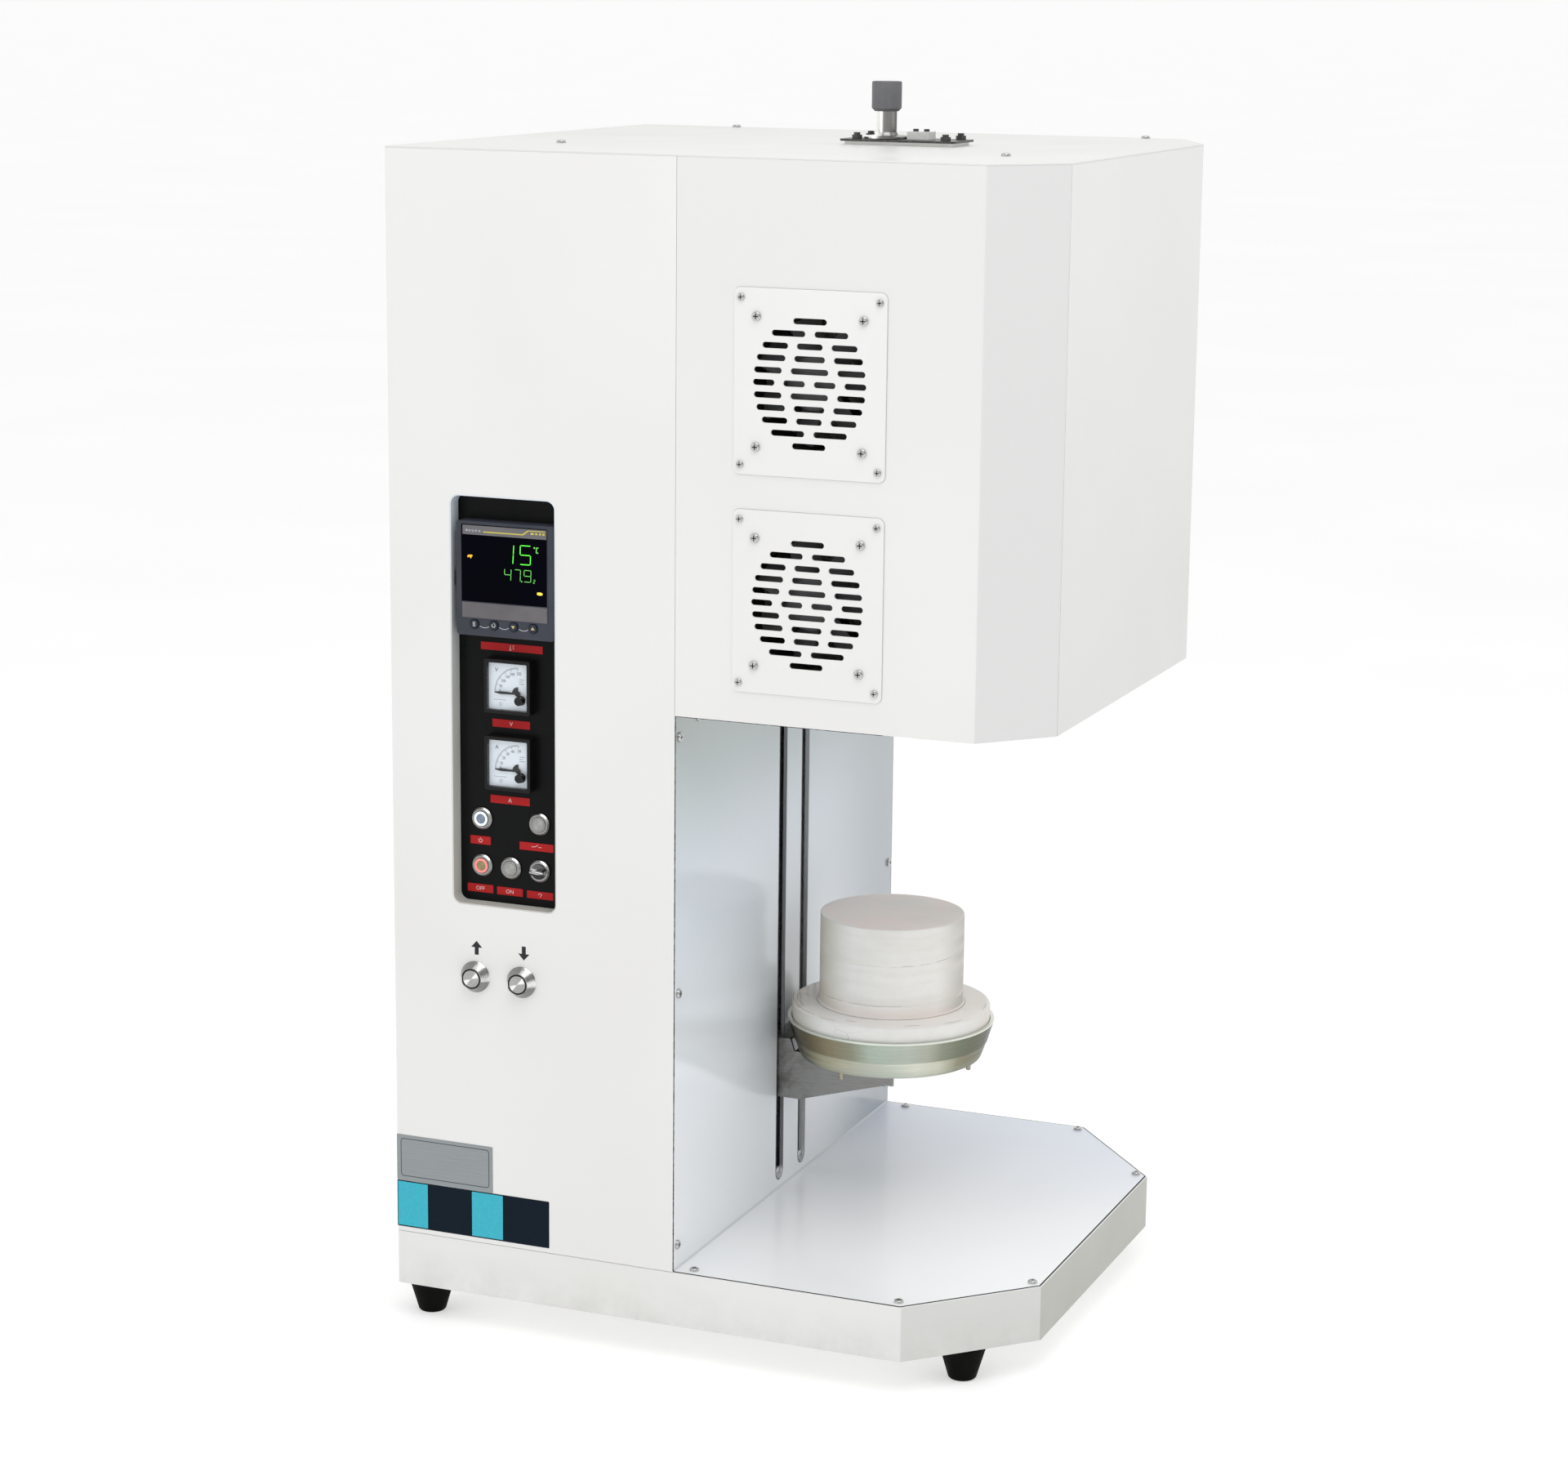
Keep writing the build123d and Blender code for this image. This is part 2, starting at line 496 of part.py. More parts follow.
EL = [(CX + 78 * math.cos(math.radians(a)), CY + 78 * math.sin(math.radians(a)), a) for a in (45, 135, 225, 315)]
INS = [(HEAD_Z + 2.1, 589.9, 97), (590, 641.9, 72), (642, 861.9, 86)]   # fibre rings, one on the other
roof = cz(CX, CY, 862, 900, 140) - cz(TC_X, TC_Y, 850, 910, 6.2)
elems = []
for ex, ey, a in EL:
    tx, ty = -math.sin(math.radians(a)), math.cos(math.radians(a))
    u = None
    for s in (-14, 14):
        leg = cz(ex + s * tx, ey + s * ty, 672, 862, 3.0) + cz(ex + s * tx, ey + s * ty, 862, 960, 5.0)
        roof -= cz(ex + s * tx, ey + s * ty, 850, 910, 5.2)
        u = leg if u is None else u + leg
    bend = Pos(ex, ey, 672) * Rot(0, 0, a) * Rot(0, 90, 0) * Torus(14, 3.0)
    bend &= bx(ex - 40, ex + 40, ey - 40, ey + 40, 640, 672)
    elems.append(u + bend)
save("chamber_insulation", [cz(CX, CY, z0, z1, 140) - cz(CX, CY, z0 - 1, z1 + 1, r) for z0, z1, r in INS] + [roof])
save("heating_elements", elems)

# ---------------------------------------------------------------------------
# lift drive, fixed side
# ---------------------------------------------------------------------------
save("guide_rods", [cz(ROD_X, y, 52.5, 566, ROD_R) for y in ROD_Y])


def end_block(z0, z1, seat0, seat1):
    b = bx(222, COL_W - T, 250, 322, z0, z1)
    for y in ROD_Y:
        b -= cz(ROD_X, y, z0 - 1, z1 + 1, ROD_R + 0.02)
    b -= cz(SCR_X, SCR_Y, seat0, seat1, 12.02)
    b -= cz(SCR_X, SCR_Y, z0 - 1, z1 + 1, 6.5)
    return b


save("lift_end_blocks", [end_block(52.5, 66, 57, 67), end_block(553, 566, 552, 562)])


def bearing(z0):
    b = cz(SCR_X, SCR_Y, z0, z0 + 8.5, 12.0) - cz(SCR_X, SCR_Y, z0 - 1, z0 + 10, 5.03)
    return b


save("screw_bearings", [bearing(57), bearing(553.4)])
screw = cz(SCR_X, SCR_Y, 66.4, 552.6, SCR_R) + cz(SCR_X, SCR_Y, 20, 66.4, 5.0) + cz(SCR_X, SCR_Y, 552.6, 563, 5.0)
save("lead_screw", screw)

motor = bx(222, 300, 246, 326, 2.0, 44.0)
motor = fillet(motor.edges().filter_by(Axis.Z), 4)
motor += cxx(286, 23.0, 92, 224, 20.5)
motor -= cz(SCR_X, SCR_Y, 18, 50, 5.06)
save("lift_motor", motor)

core = bx(60, 190, 340, 450, T, 112)
core -= bx(80, 104, 330, 460, 26, 88)
core -= bx(146, 170, 330, 460, 26, 88)
coil = bx(80, 170, 322, 468, 27, 87)
coil = fillet(coil.edges().filter_by(Axis.Z), 8)
save("power_transformer", core + coil)

gland = cy(60, 110, 540, 560, 10.0)
gland += Pos(60, 560, 110) * Rot(-90, 0, 0) * extrude(RegularPolygon(15.5, 6), amount=6)
gland += revolve_y(60, 110, [(0, 565.5), (12.5, 565.5), (12.5, 572), (9.5, Y_BACK), (0, Y_BACK)])
gland += Pos(60, 552, 110) * Rot(-90, 0, 0) * extrude(RegularPolygon(14.5, 6), amount=6.4)
gland -= cy(60, 110, 530, 590, 4.2)
save("cable_gland", gland)

# ---------------------------------------------------------------------------
# lift, moving side
# ---------------------------------------------------------------------------
car = bx(224, 280, 254, 318, 146, 205)
car -= cz(SCR_X, SCR_Y, 140, 210, 11.0)
car -= bx(270.5, 281, 253, 269.5, 140, 210)     # clears the slot's rear edge
for y in ROD_Y:
    car -= cz(ROD_X, y, 140, 210, 9.5)
save("lift_carriage", car)
save("linear_bushes", [cz(ROD_X, y, z0, z0 + 22, 9.5) - cz(ROD_X, y, z0 - 1, z0 + 30, ROD_R + 0.04)
                       for y in ROD_Y for z0 in (146, 183)])
nut = cz(SCR_X, SCR_Y, 146, 205, 11.0) + cz(SCR_X, SCR_Y, 205, 210, 13.6) - cz(SCR_X, SCR_Y, 140, 215, SCR_R + 0.06)
save("lead_nut", nut)

ARM_X = (402.0, 374.0)     # ends of the front and the rear arm
br = None
for y0, xe in ((251, ARM_X[0]), (318, ARM_X[1])):
    ze = 146.6 + min(xe - 306, 88) * 25 / 88
    prof = [(226, 150), (230, 146.6), (306, 146.6), (min(xe - 4, 394), ze), (xe, ze), (xe, DISH_Z), (300, DISH_Z), (296, 206), (226, 206)]
    arm = yprism(prof, y0, y0 + 3)
    br = arm if br is None else br + arm
br += prism([(300, 252), (ARM_X[0], 252), (ARM_X[1], 320), (300, 320)], DISH_Z - 3, DISH_Z)
br += bx(284.6, 294.0, 253, 319, 203, 206)
STUDS = [(CX + 78 * math.cos(math.radians(a)), CY + 78 * math.sin(math.radians(a))) for a in (-106.3, 4.7, 129.2)]
save("lift_bracket", br)

FLOOR_Z = DISH_Z + 5       # inside of the dish
dish = revolve_z(CX, CY, [(0, DISH_Z), (84.5, DISH_Z), (87.2, 195.4), (88.6, 198.0), (92.8, 210.4), (93.6, 211.2), (99.4, 230.2), (99.4, RIM_Z),
                          (95.9, RIM_Z), (89.8, 213.0), (83.5, FLOOR_Z), (0, FLOOR_Z)])
for x, y in STUDS:
    dish -= cz(x, y, 190, 205, 2.32)
save("platform_dish", dish)
board = revolve_z(CX, CY, [(0, FLOOR_Z + 0.1), (83.1, FLOOR_Z + 0.1), (89.4, 213.0), (95.5, RIM_Z), (95.5, 245.3), (93.3, BOARD_TOP), (0, BOARD_TOP)])
save("insulation_board", board)
zs = (BOARD_TOP,) + HEARTH_SEAMS + (HEARTH_TOP,)
discs = []
for z0, z1 in zip(zs[:-1], zs[1:]):
    c = cz(CX, CY, z0, z1, HEARTH_R)
    c = chamfer(c.edges(), 0.35)
    discs.append(c)
save("hearth", discs)
studs = []
for x, y in STUDS:
    s = cz(x, y, 184.5, FLOOR_Z, 2.3)
    s = fillet(s.edges().group_by(Axis.Z)[0], 1.4)
    studs.append(s)
save("platform_studs", studs)
print("done")
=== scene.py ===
import bpy
import bmesh
import math
import numpy as np
from mathutils import Matrix, Vector, noise


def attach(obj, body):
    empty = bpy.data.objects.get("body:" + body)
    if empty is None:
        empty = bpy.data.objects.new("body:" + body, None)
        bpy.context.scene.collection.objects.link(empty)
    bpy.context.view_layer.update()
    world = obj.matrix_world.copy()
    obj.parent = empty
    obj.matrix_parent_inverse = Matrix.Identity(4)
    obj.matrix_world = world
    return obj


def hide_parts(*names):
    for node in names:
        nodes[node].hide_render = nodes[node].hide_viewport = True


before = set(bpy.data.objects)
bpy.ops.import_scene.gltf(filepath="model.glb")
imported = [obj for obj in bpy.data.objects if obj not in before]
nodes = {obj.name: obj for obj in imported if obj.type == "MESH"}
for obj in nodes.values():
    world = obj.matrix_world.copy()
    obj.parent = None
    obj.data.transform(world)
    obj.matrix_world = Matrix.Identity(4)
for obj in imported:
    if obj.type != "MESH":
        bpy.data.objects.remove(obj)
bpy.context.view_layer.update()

# ---------------------------------------------------------------------------
# The CAD's working frame in mm (x from the cabinet's left, y from its front,
# z from the skirt's lower edge) to the shared frame in metres.
# ---------------------------------------------------------------------------
OX, OY, OZ = -309.0, -284.5, 33.0


def L(x, y, z):
    return Vector(((x + OX) / 1000, (y + OY) / 1000, (z + OZ) / 1000))


REC_D = 15.0
CX, CY = 386.0, 286.0
FAN_X, FAN_Z = 408.0, (869.5, 678.0)
MET_X, MET_Z = 116.0, (581.0, 509.8)
SW = {"power": (85.5, 455.0), "open": (143.5, 455.0), "stop": (85.5, 411.0),
      "start": (114.5, 411.0), "select": (143.5, 411.0)}
PLAT = {"up": (84.5, 308.5), "down": (131.5, 308.5)}
KEYS_X, KEYS_Z = (87.0, 106.5, 126.0, 145.5), 637.8
WALL_SCREWS = [(10.5, 549), (10.5, 313), (10.5, 75), (549, 549), (549, 313), (549, 75), (52, 560), (508, 560)]


# ---------------------------------------------------------------------------
# materials
# ---------------------------------------------------------------------------
class Mat:
    """A small builder for node materials in object coordinates (metres)."""

    def __init__(self, name, color=(0.8, 0.8, 0.8), rough=0.5, metal=0.0, spec=0.5, coat=0.0, coat_rough=0.1, sheen=0.0, alpha=1.0, ior=1.5):
        self.mat = bpy.data.materials.new(name)
        self.mat.use_nodes = True
        self.nt = self.mat.node_tree
        self.nt.nodes.clear()
        self.out = self.nt.nodes.new("ShaderNodeOutputMaterial")
        self.b = self.nt.nodes.new("ShaderNodeBsdfPrincipled")
        self.nt.links.new(self.b.outputs["BSDF"], self.out.inputs["Surface"])
        self.co = self.nt.nodes.new("ShaderNodeTexCoord").outputs["Object"]
        i = self.b.inputs
        i["Base Color"].default_value = (*color, 1)
        i["Roughness"].default_value = rough
        i["Metallic"].default_value = metal
        i["Specular IOR Level"].default_value = spec
        i["IOR"].default_value = ior
        i["Coat Weight"].default_value = coat
        i["Coat Roughness"].default_value = coat_rough
        i["Sheen Weight"].default_value = sheen
        i["Alpha"].default_value = alpha
        self.normal = None

    def node(self, kind, **props):
        n = self.nt.nodes.new(kind)
        for k, v in props.items():
            setattr(n, k, v)
        return n

    def put(self, socket, value):
        if isinstance(value, bpy.types.NodeSocket):
            self.nt.links.new(value, socket)
        else:
            socket.default_value = value

    def coords(self, scale=(1, 1, 1), loc=(0, 0, 0), rot=(0, 0, 0)):
        m = self.node("ShaderNodeMapping")
        self.put(m.inputs["Vector"], self.co)
        m.inputs["Scale"].default_value = scale
        m.inputs["Location"].default_value = loc
        m.inputs["Rotation"].default_value = rot
        return m.outputs["Vector"]

    def noise(self, scale, detail=3.0, rough=0.55, vec=None, dist=0.0):
        n = self.node("ShaderNodeTexNoise")
        self.put(n.inputs["Vector"], vec or self.co)
        n.inputs["Scale"].default_value = scale
        n.inputs["Detail"].default_value = detail
        n.inputs["Roughness"].default_value = rough
        n.inputs["Distortion"].default_value = dist
        return n.outputs["Fac"]

    def voronoi(self, scale, feature="F1", vec=None, rand=1.0):
        n = self.node("ShaderNodeTexVoronoi", feature=feature)
        self.put(n.inputs["Vector"], vec or self.co)
        n.inputs["Scale"].default_value = scale
        n.inputs["Randomness"].default_value = rand
        return n.outputs["Distance"]

    def ramp(self, fac, stops, mode="LINEAR"):
        n = self.node("ShaderNodeValToRGB")
        n.color_ramp.interpolation = mode
        self.put(n.inputs["Fac"], fac)
        e = n.color_ramp.elements
        while len(e) < len(stops):
            e.new(0.5)
        for k, (p, c) in enumerate(stops):
            e[k].position = p
            e[k].color = (c, c, c, 1) if isinstance(c, (int, float)) else (*c, 1)
        return n.outputs["Color"]

    def math(self, op, a, b=0.0, c=0.0, clamp=False):
        n = self.node("ShaderNodeMath", operation=op, use_clamp=clamp)
        self.put(n.inputs[0], a)
        self.put(n.inputs[1], b)
        if len(n.inputs) > 2:
            self.put(n.inputs[2], c)
        return n.outputs[0]

    def map(self, v, a, b, c=0.0, d=1.0, smooth=False):
        n = self.node("ShaderNodeMapRange", interpolation_type="SMOOTHSTEP" if smooth else "LINEAR")
        self.put(n.inputs["Value"], v)
        n.inputs["From Min"].default_value = a
        n.inputs["From Max"].default_value = b
        n.inputs["To Min"].default_value = c
        n.inputs["To Max"].default_value = d
        return n.outputs["Result"]

    def mix(self, fac, a, b, mode="MIX"):
        n = self.node("ShaderNodeMix", data_type="RGBA", blend_type=mode)
        self.put(n.inputs["Factor"], fac)
        for s, v in ((n.inputs[6], a), (n.inputs[7], b)):
            if isinstance(v, tuple):
                s.default_value = (*v, 1) if len(v) == 3 else v
            else:
                self.put(s, v)
        return n.outputs[2]

    def xyz(self):
        n = self.node("ShaderNodeSeparateXYZ")
        self.put(n.inputs[0], self.co)
        return n.outputs

    def bump(self, height, strength, distance=0.001):
        n = self.node("ShaderNodeBump")
        self.put(n.inputs["Height"], height)
        n.inputs["Strength"].default_value = strength
        n.inputs["Distance"].default_value = distance
        if self.normal is not None:
            self.put(n.inputs["Normal"], self.normal)
        self.normal = n.outputs["Normal"]
        self.put(self.b.inputs["Normal"], self.normal)

    def color(self, value):
        self.put(self.b.inputs["Base Color"], value)

    def rough(self, value):
        self.put(self.b.inputs["Roughness"], value)

    def glow(self, color, strength):
        self.b.inputs["Emission Color"].default_value = (*color, 1)
        self.b.inputs["Emission Strength"].default_value = strength


def paint(name, base, rough, peel=0.10, peel_scale=700, var=0.02, coat=0.0, low_dirt=0.0, warm=(1.0, 0.995, 0.98), painted_light_fade=None, painted_light_fade2=None, right_face_shade=None, right_face_shade_from=(0.60, 0.95)):
    """Powder coat: orange peel, slow tone changes, faint scuffs, a little grime towards the floor; painted light and
    shade as colour eased along an axis, and painted shade on faces turned towards +x.
    """
    m = Mat(name, base, rough, coat=coat, coat_rough=0.12)
    slow = m.noise(3.2, 2.0, 0.5)
    a = tuple(c * (1 - var) * w for c, w in zip(base, warm))
    b = tuple(min(1, c * (1 + var * 0.6)) for c in base)
    col = m.mix(m.map(slow, 0.35, 0.65), a, b)
    # painted light and shade: the colour eased towards another along one axis
    if painted_light_fade:
        axis, v0, v1, far = painted_light_fade
        col = m.mix(m.map(m.xyz()[axis], v0, v1, smooth=True), col, far)
    for axis, v0, v1, far in painted_light_fade2 or ():
        col = m.mix(m.map(m.xyz()[axis], v0, v1, smooth=True), col, far)
    # painted shade on the faces turned towards +x
    if right_face_shade:
        g = m.node("ShaderNodeNewGeometry")
        n = m.node("ShaderNodeSeparateXYZ")
        m.put(n.inputs[0], g.outputs["Normal"])
        col = m.mix(m.map(n.outputs[0], *right_face_shade_from), col, right_face_shade)
    fine = m.noise(260, 2.0, 0.6)
    col = m.mix(m.map(fine, 0.70, 0.80, 0.0, 0.05), col, tuple(c * 0.72 for c in base))
    if low_dirt:
        z = m.xyz()[2]
        grime = m.math("MULTIPLY", m.map(z, 0.033, 0.075, low_dirt, 0.0), m.map(m.noise(22, 4.0, 0.65), 0.35, 0.7))
        col = m.mix(grime, col, (0.42, 0.40, 0.36))
    m.color(col)
    r = m.noise(9, 4.0, 0.6)
    m.rough(m.map(r, 0.3, 0.7, rough * 0.82, rough * 1.2))
    m.bump(m.noise(peel_scale, 2.0, 0.5), peel, 0.0004)
    m.bump(m.noise(14, 1.0, 0.4), 0.05, 0.002)
    return m.mat


WHITE = (0.862, 0.862, 0.858)
mat_cabinet = paint("cabinet_paint", WHITE, 0.42, low_dirt=0.0)
# head front: painted shade, darker towards the top and on the chamfer
mat_headfront = paint("head_front_paint", WHITE, 0.42, painted_light_fade=(2, 0.70, 1.05, (0.82, 0.82, 0.815)), right_face_shade=(0.775, 0.778, 0.772), right_face_shade_from=(0.35, 0.60))
# head side: a darker copy of the white as painted shade, lighter towards the top as painted light
mat_headside = paint("head_side_paint", (0.775, 0.78, 0.765), 0.42, painted_light_fade=(2, 0.60, 1.05, (0.835, 0.838, 0.825)))
# top cover: a darker copy of the cabinet white, painted shade against the light from above
mat_top = paint("cabinet_top_paint", (0.765, 0.765, 0.75), 0.42)
# base: painted shade on the faces turned to the right
mat_base = paint("base_paint", (0.845, 0.847, 0.835), 0.45, low_dirt=0.30, right_face_shade=(0.49, 0.495, 0.455))
# inner wall: painted shade, darker towards the top, towards the back and most under the head
mat_bay = paint("bay_paint", (0.90, 0.925, 0.95), 0.16, peel=0.06, peel_scale=420, var=0.03, coat=0.3, warm=(0.985, 0.995, 1.0), painted_light_fade=(2, 0.14, 0.50, (0.655, 0.72, 0.79)),
                painted_light_fade2=((1, 0.045, 0.25, (0.43, 0.47, 0.51)), (2, 0.42, 0.60, (0.37, 0.425, 0.415))))
# base plate: painted shade, darker towards the back under the head
mat_plate = paint("base_plate_paint", (0.97, 0.98, 1.0), 0.36, peel=0.06, peel_scale=420, var=0.02, coat=0.3, warm=(0.985, 0.995, 1.0), painted_light_fade=(1, -0.05, 0.27, (0.80, 0.845, 0.93)))
mat_seal = paint("corner_seal_paint", (0.70, 0.735, 0.775), 0.5)
mat_under = paint("head_underside_paint", (0.80, 0.80, 0.79), 0.5)
mat_grille = paint("grille_paint", (0.866, 0.868, 0.862), 0.45, var=0.012)
# recess: painted light, paler and bluer towards the top where the wall lies in shade
mat_recess = paint("recess_paint", (0.66, 0.67, 0.625), 0.34, var=0.06, painted_light_fade=(2, 0.55, 0.80, (0.80, 0.87, 0.93)))


def black_panel():
    m = Mat("fascia_black", (0.006, 0.0065, 0.0065), 0.36, spec=0.10)
    s = m.noise(5, 3.0, 0.6)
    m.color(m.mix(m.map(s, 0.35, 0.7), (0.0035, 0.0038, 0.004), (0.0065, 0.0068, 0.0066)))
    m.rough(m.map(m.noise(40, 4.0, 0.65), 0.3, 0.7, 0.26, 0.42))
    m.bump(m.noise(900, 2.0, 0.5), 0.10, 0.0003)
    return m.mat


def steel(name, base=(0.62, 0.62, 0.61), rough=0.28, grain=(60, 60, 3000), amount=0.12, stain=0.0, spots=0.0):
    m = Mat(name, base, rough, metal=1.0)
    g = m.noise(1.0, 3.0, 0.6, vec=m.coords(scale=grain))
    dark = tuple(c * 0.72 for c in base)
    col = m.mix(m.map(g, 0.3, 0.7), dark, base)
    if stain:
        st = m.map(m.noise(28, 4.0, 0.6, dist=0.6), 0.45, 0.72, 0.0, stain, smooth=True)
        col = m.mix(st, col, (0.20, 0.17, 0.13))
    if spots:
        col = m.mix(m.map(m.noise(240, 3.0, 0.7), 0.66, 0.76, 0.0, spots), col, (0.12, 0.11, 0.10))
    m.color(col)
    m.rough(m.map(g, 0.25, 0.75, rough * 0.8, rough * 1.35))
    m.bump(g, amount, 0.0002)
    return m.mat


def peak(m, ang, at, half, amp=1.0):
    """A smooth lobe of the angle, its middle at `at` degrees and its foot `half` degrees away."""
    c = m.math("COSINE", m.math("SUBTRACT", ang, math.radians(at)))
    return m.map(c, math.cos(math.radians(half)), 1.0, 0.0, amp, smooth=True)


def turned(name, cx, cz, base=(0.42, 0.42, 0.415), rough=0.30, pitch=0.00045, highlight_lobes=((45, 50, 0.35), (225, 50, 0.3)), low=0.85, high=1.6):
    """Faced on a lathe about a front-to-back axis: fine rings round (cx, cz), and the bright fans of such a face
    painted in as highlights.
    """
    m = Mat(name, base, rough, metal=1.0)
    c = L(cx, 0, cz)
    x, _, z = m.xyz()
    dx = m.math("SUBTRACT", x, c.x)
    dz = m.math("SUBTRACT", z, c.z)
    r = m.math("SQRT", m.math("ADD", m.math("MULTIPLY", dx, dx), m.math("MULTIPLY", dz, dz)))
    ang = m.math("ARCTAN2", dz, dx)
    ring = m.math("SINE", m.math("MULTIPLY", r, 2 * math.pi / pitch))
    wob = m.noise(900, 2.0, 0.5)
    h = m.math("ADD", m.math("MULTIPLY", ring, 0.5), wob)
    tone = m.math("MULTIPLY", m.noise(420, 2.0, 0.5), 0.3)
    # painted highlights: bright fans at the given bearings
    for at, half, amp in highlight_lobes:
        tone = m.math("ADD", tone, peak(m, ang, at, half, amp))
    tone = m.math("MULTIPLY", tone, 1.0, clamp=True)
    m.color(m.mix(tone, tuple(v * low for v in base), tuple(min(1, v * high) for v in base)))
    m.rough(m.map(wob, 0.3, 0.7, rough * 0.8, rough * 1.3))
    m.bump(h, 0.16, 0.0001)
    return m.mat


def bezel_metal():
    """Turned button rings: grey flats, cones with painted highlights, bright fans by the direction the faces point."""
    m = Mat("button_steel", (0.5, 0.5, 0.49), 0.24, metal=1.0)
    g = m.node("ShaderNodeNewGeometry")
    n = m.node("ShaderNodeSeparateXYZ")
    m.put(n.inputs[0], g.outputs["Normal"])
    ang = m.math("ARCTAN2", n.outputs[2], n.outputs[0])
    side = m.math("SQRT", m.math("ADD", m.math("MULTIPLY", n.outputs[0], n.outputs[0]), m.math("MULTIPLY", n.outputs[2], n.outputs[2])))
    z = m.xyz()[2]
    low = m.map(z, (350 + OZ) / 1000, (352 + OZ) / 1000, 1.0, 0.0)
    # painted highlights: bright fans by the facing direction, larger ones on the platform buttons below z 350
    big = m.math("ADD", peak(m, ang, 62, 24, 1.0), peak(m, ang, 4, 20, 0.9))
    big = m.math("ADD", big, peak(m, ang, 200, 40, 0.35))
    small = m.math("ADD", peak(m, ang, 48, 46, 1.0), peak(m, ang, 228, 42, 0.8))
    t = m.math("ADD", m.math("MULTIPLY", big, low), m.math("MULTIPLY", small, m.math("SUBTRACT", 1.0, low)))
    t = m.math("MULTIPLY", t, m.map(side, 0.15, 0.4))
    t = m.math("ADD", t, m.math("MULTIPLY", m.noise(900, 2.0, 0.5), 0.12), clamp=True)
    m.color(m.mix(t, (0.24, 0.24, 0.235), (1.0, 1.0, 0.985)))
    m.rough(m.map(m.noise(1200, 2.0, 0.5), 0.3, 0.7, 0.2, 0.32))
    m.bump(m.noise(1.0, 2.0, 0.5, vec=m.coords(scale=(1500, 200, 1500))), 0.06, 0.0002)
    return m.mat


def selector_metal():
    """Turned cap with a polished oval bar across it, its reflection painted in as bright and dark bands."""
    m = Mat("selector_turned", (0.5, 0.5, 0.49), 0.2, metal=1.0)
    c = L(SW["select"][0], 0, SW["select"][1])
    x, y, z = m.xyz()
    dx = m.math("SUBTRACT", x, c.x)
    dz = m.math("SUBTRACT", z, c.z)
    v = m.math("SUBTRACT", m.math("MULTIPLY", dz, math.cos(math.radians(8))), m.math("MULTIPLY", dx, -math.sin(math.radians(8))))
    u = m.map(v, -0.0021, 0.0021)
    # painted reflection: bright and dark bands across the bar
    bar = m.ramp(u, [(0.0, 0.04), (0.18, 0.10), (0.30, 0.55), (0.46, 0.30), (0.58, 0.22), (0.74, 0.85), (0.86, 0.60), (1.0, 0.12)])
    cap = m.mix(m.map(m.noise(500, 2.0, 0.5), 0.3, 0.7), (0.26, 0.26, 0.25), (0.36, 0.36, 0.35))
    m.color(m.mix(m.map(y, L(0, 10.85, 0).y, L(0, 11.05, 0).y), bar, cap))
    m.rough(m.map(m.noise(700, 2.0, 0.5), 0.3, 0.7, 0.14, 0.26))
    m.bump(m.noise(1400, 2.0, 0.5), 0.05, 0.0001)
    return m.mat


def mount_mat():
    """Thermocouple mount: white fibre pad, thin dark plate, pale clamp block, dark bolts."""
    m = Mat("mount_plate_steel", (0.2, 0.2, 0.2), 0.4)
    x, y, z = m.xyz()
    g = m.noise(1.0, 3.0, 0.6, vec=m.coords(scale=(400, 60, 400)))
    fib = m.noise(600, 4.0, 0.7)
    plate = m.mix(m.map(g, 0.3, 0.7), (0.055, 0.055, 0.056), (0.115, 0.113, 0.11))
    pad = m.mix(m.map(fib, 0.3, 0.75), (0.84, 0.84, 0.82), (0.94, 0.94, 0.925))
    block = m.mix(m.map(fib, 0.3, 0.7), (0.70, 0.70, 0.68), (0.86, 0.86, 0.84))
    a = L(389.4, 278.9, 0)
    b = L(411.1, 297.1, 0)
    inx = m.math("MULTIPLY", m.math("GREATER_THAN", x, a.x), m.math("LESS_THAN", x, b.x))
    iny = m.math("MULTIPLY", m.math("GREATER_THAN", y, a.y), m.math("LESS_THAN", y, b.y))
    inz = m.math("MULTIPLY", m.math("GREATER_THAN", z, (1065.25 + OZ) / 1000), m.math("LESS_THAN", z, (1072.25 + OZ) / 1000))
    blk = m.math("MULTIPLY", m.math("MULTIPLY", inx, iny), inz)
    under = m.math("LESS_THAN", z, (1063.22 + OZ) / 1000)
    col = m.mix(blk, plate, block)
    col = m.mix(under, col, pad)
    m.color(col)
    soft = m.math("ADD", blk, under, clamp=True)
    m.put(m.b.inputs["Metallic"], m.math("MULTIPLY", m.math("SUBTRACT", 1.0, soft), 0.7))
    m.rough(m.math("ADD", m.map(g, 0.25, 0.75, 0.3, 0.45), m.math("MULTIPLY", soft, 0.45), clamp=True))
    m.bump(m.math("ADD", m.math("MULTIPLY", g, 0.4), m.math("MULTIPLY", fib, soft)), 0.12, 0.0004)
    return m.mat


def tube_mat():
    """Drawn probe tube: a strong upright painted highlight towards the left, grey to the right, with a painted dark
    edge at the right.
    """
    m = Mat("probe_steel", (0.5, 0.5, 0.48), 0.22, metal=1.0)
    x, y, z = m.xyz()
    c = L(366.8, 286.0, 0)
    ang = m.math("ARCTAN2", m.math("SUBTRACT", y, c.y), m.math("SUBTRACT", x, c.x))
    # painted highlights by the bearing round the tube
    t = m.math("ADD", peak(m, ang, -130, 48, 1.8), peak(m, ang, 110, 50, 0.4), clamp=True)
    g = m.noise(1.0, 3.0, 0.6, vec=m.coords(scale=(700, 700, 40)))
    t = m.math("ADD", t, m.math("MULTIPLY", g, 0.15), clamp=True)
    col = m.mix(t, (0.24, 0.235, 0.225), (1.0, 0.99, 0.96))
    # painted shade: a dark band at the right edge
    m.color(m.mix(peak(m, ang, 14, 44, 0.85), col, (0.05, 0.048, 0.045)))
    m.rough(m.map(g, 0.3, 0.7, 0.18, 0.3))
    m.bump(g, 0.06, 0.0002)
    return m.mat


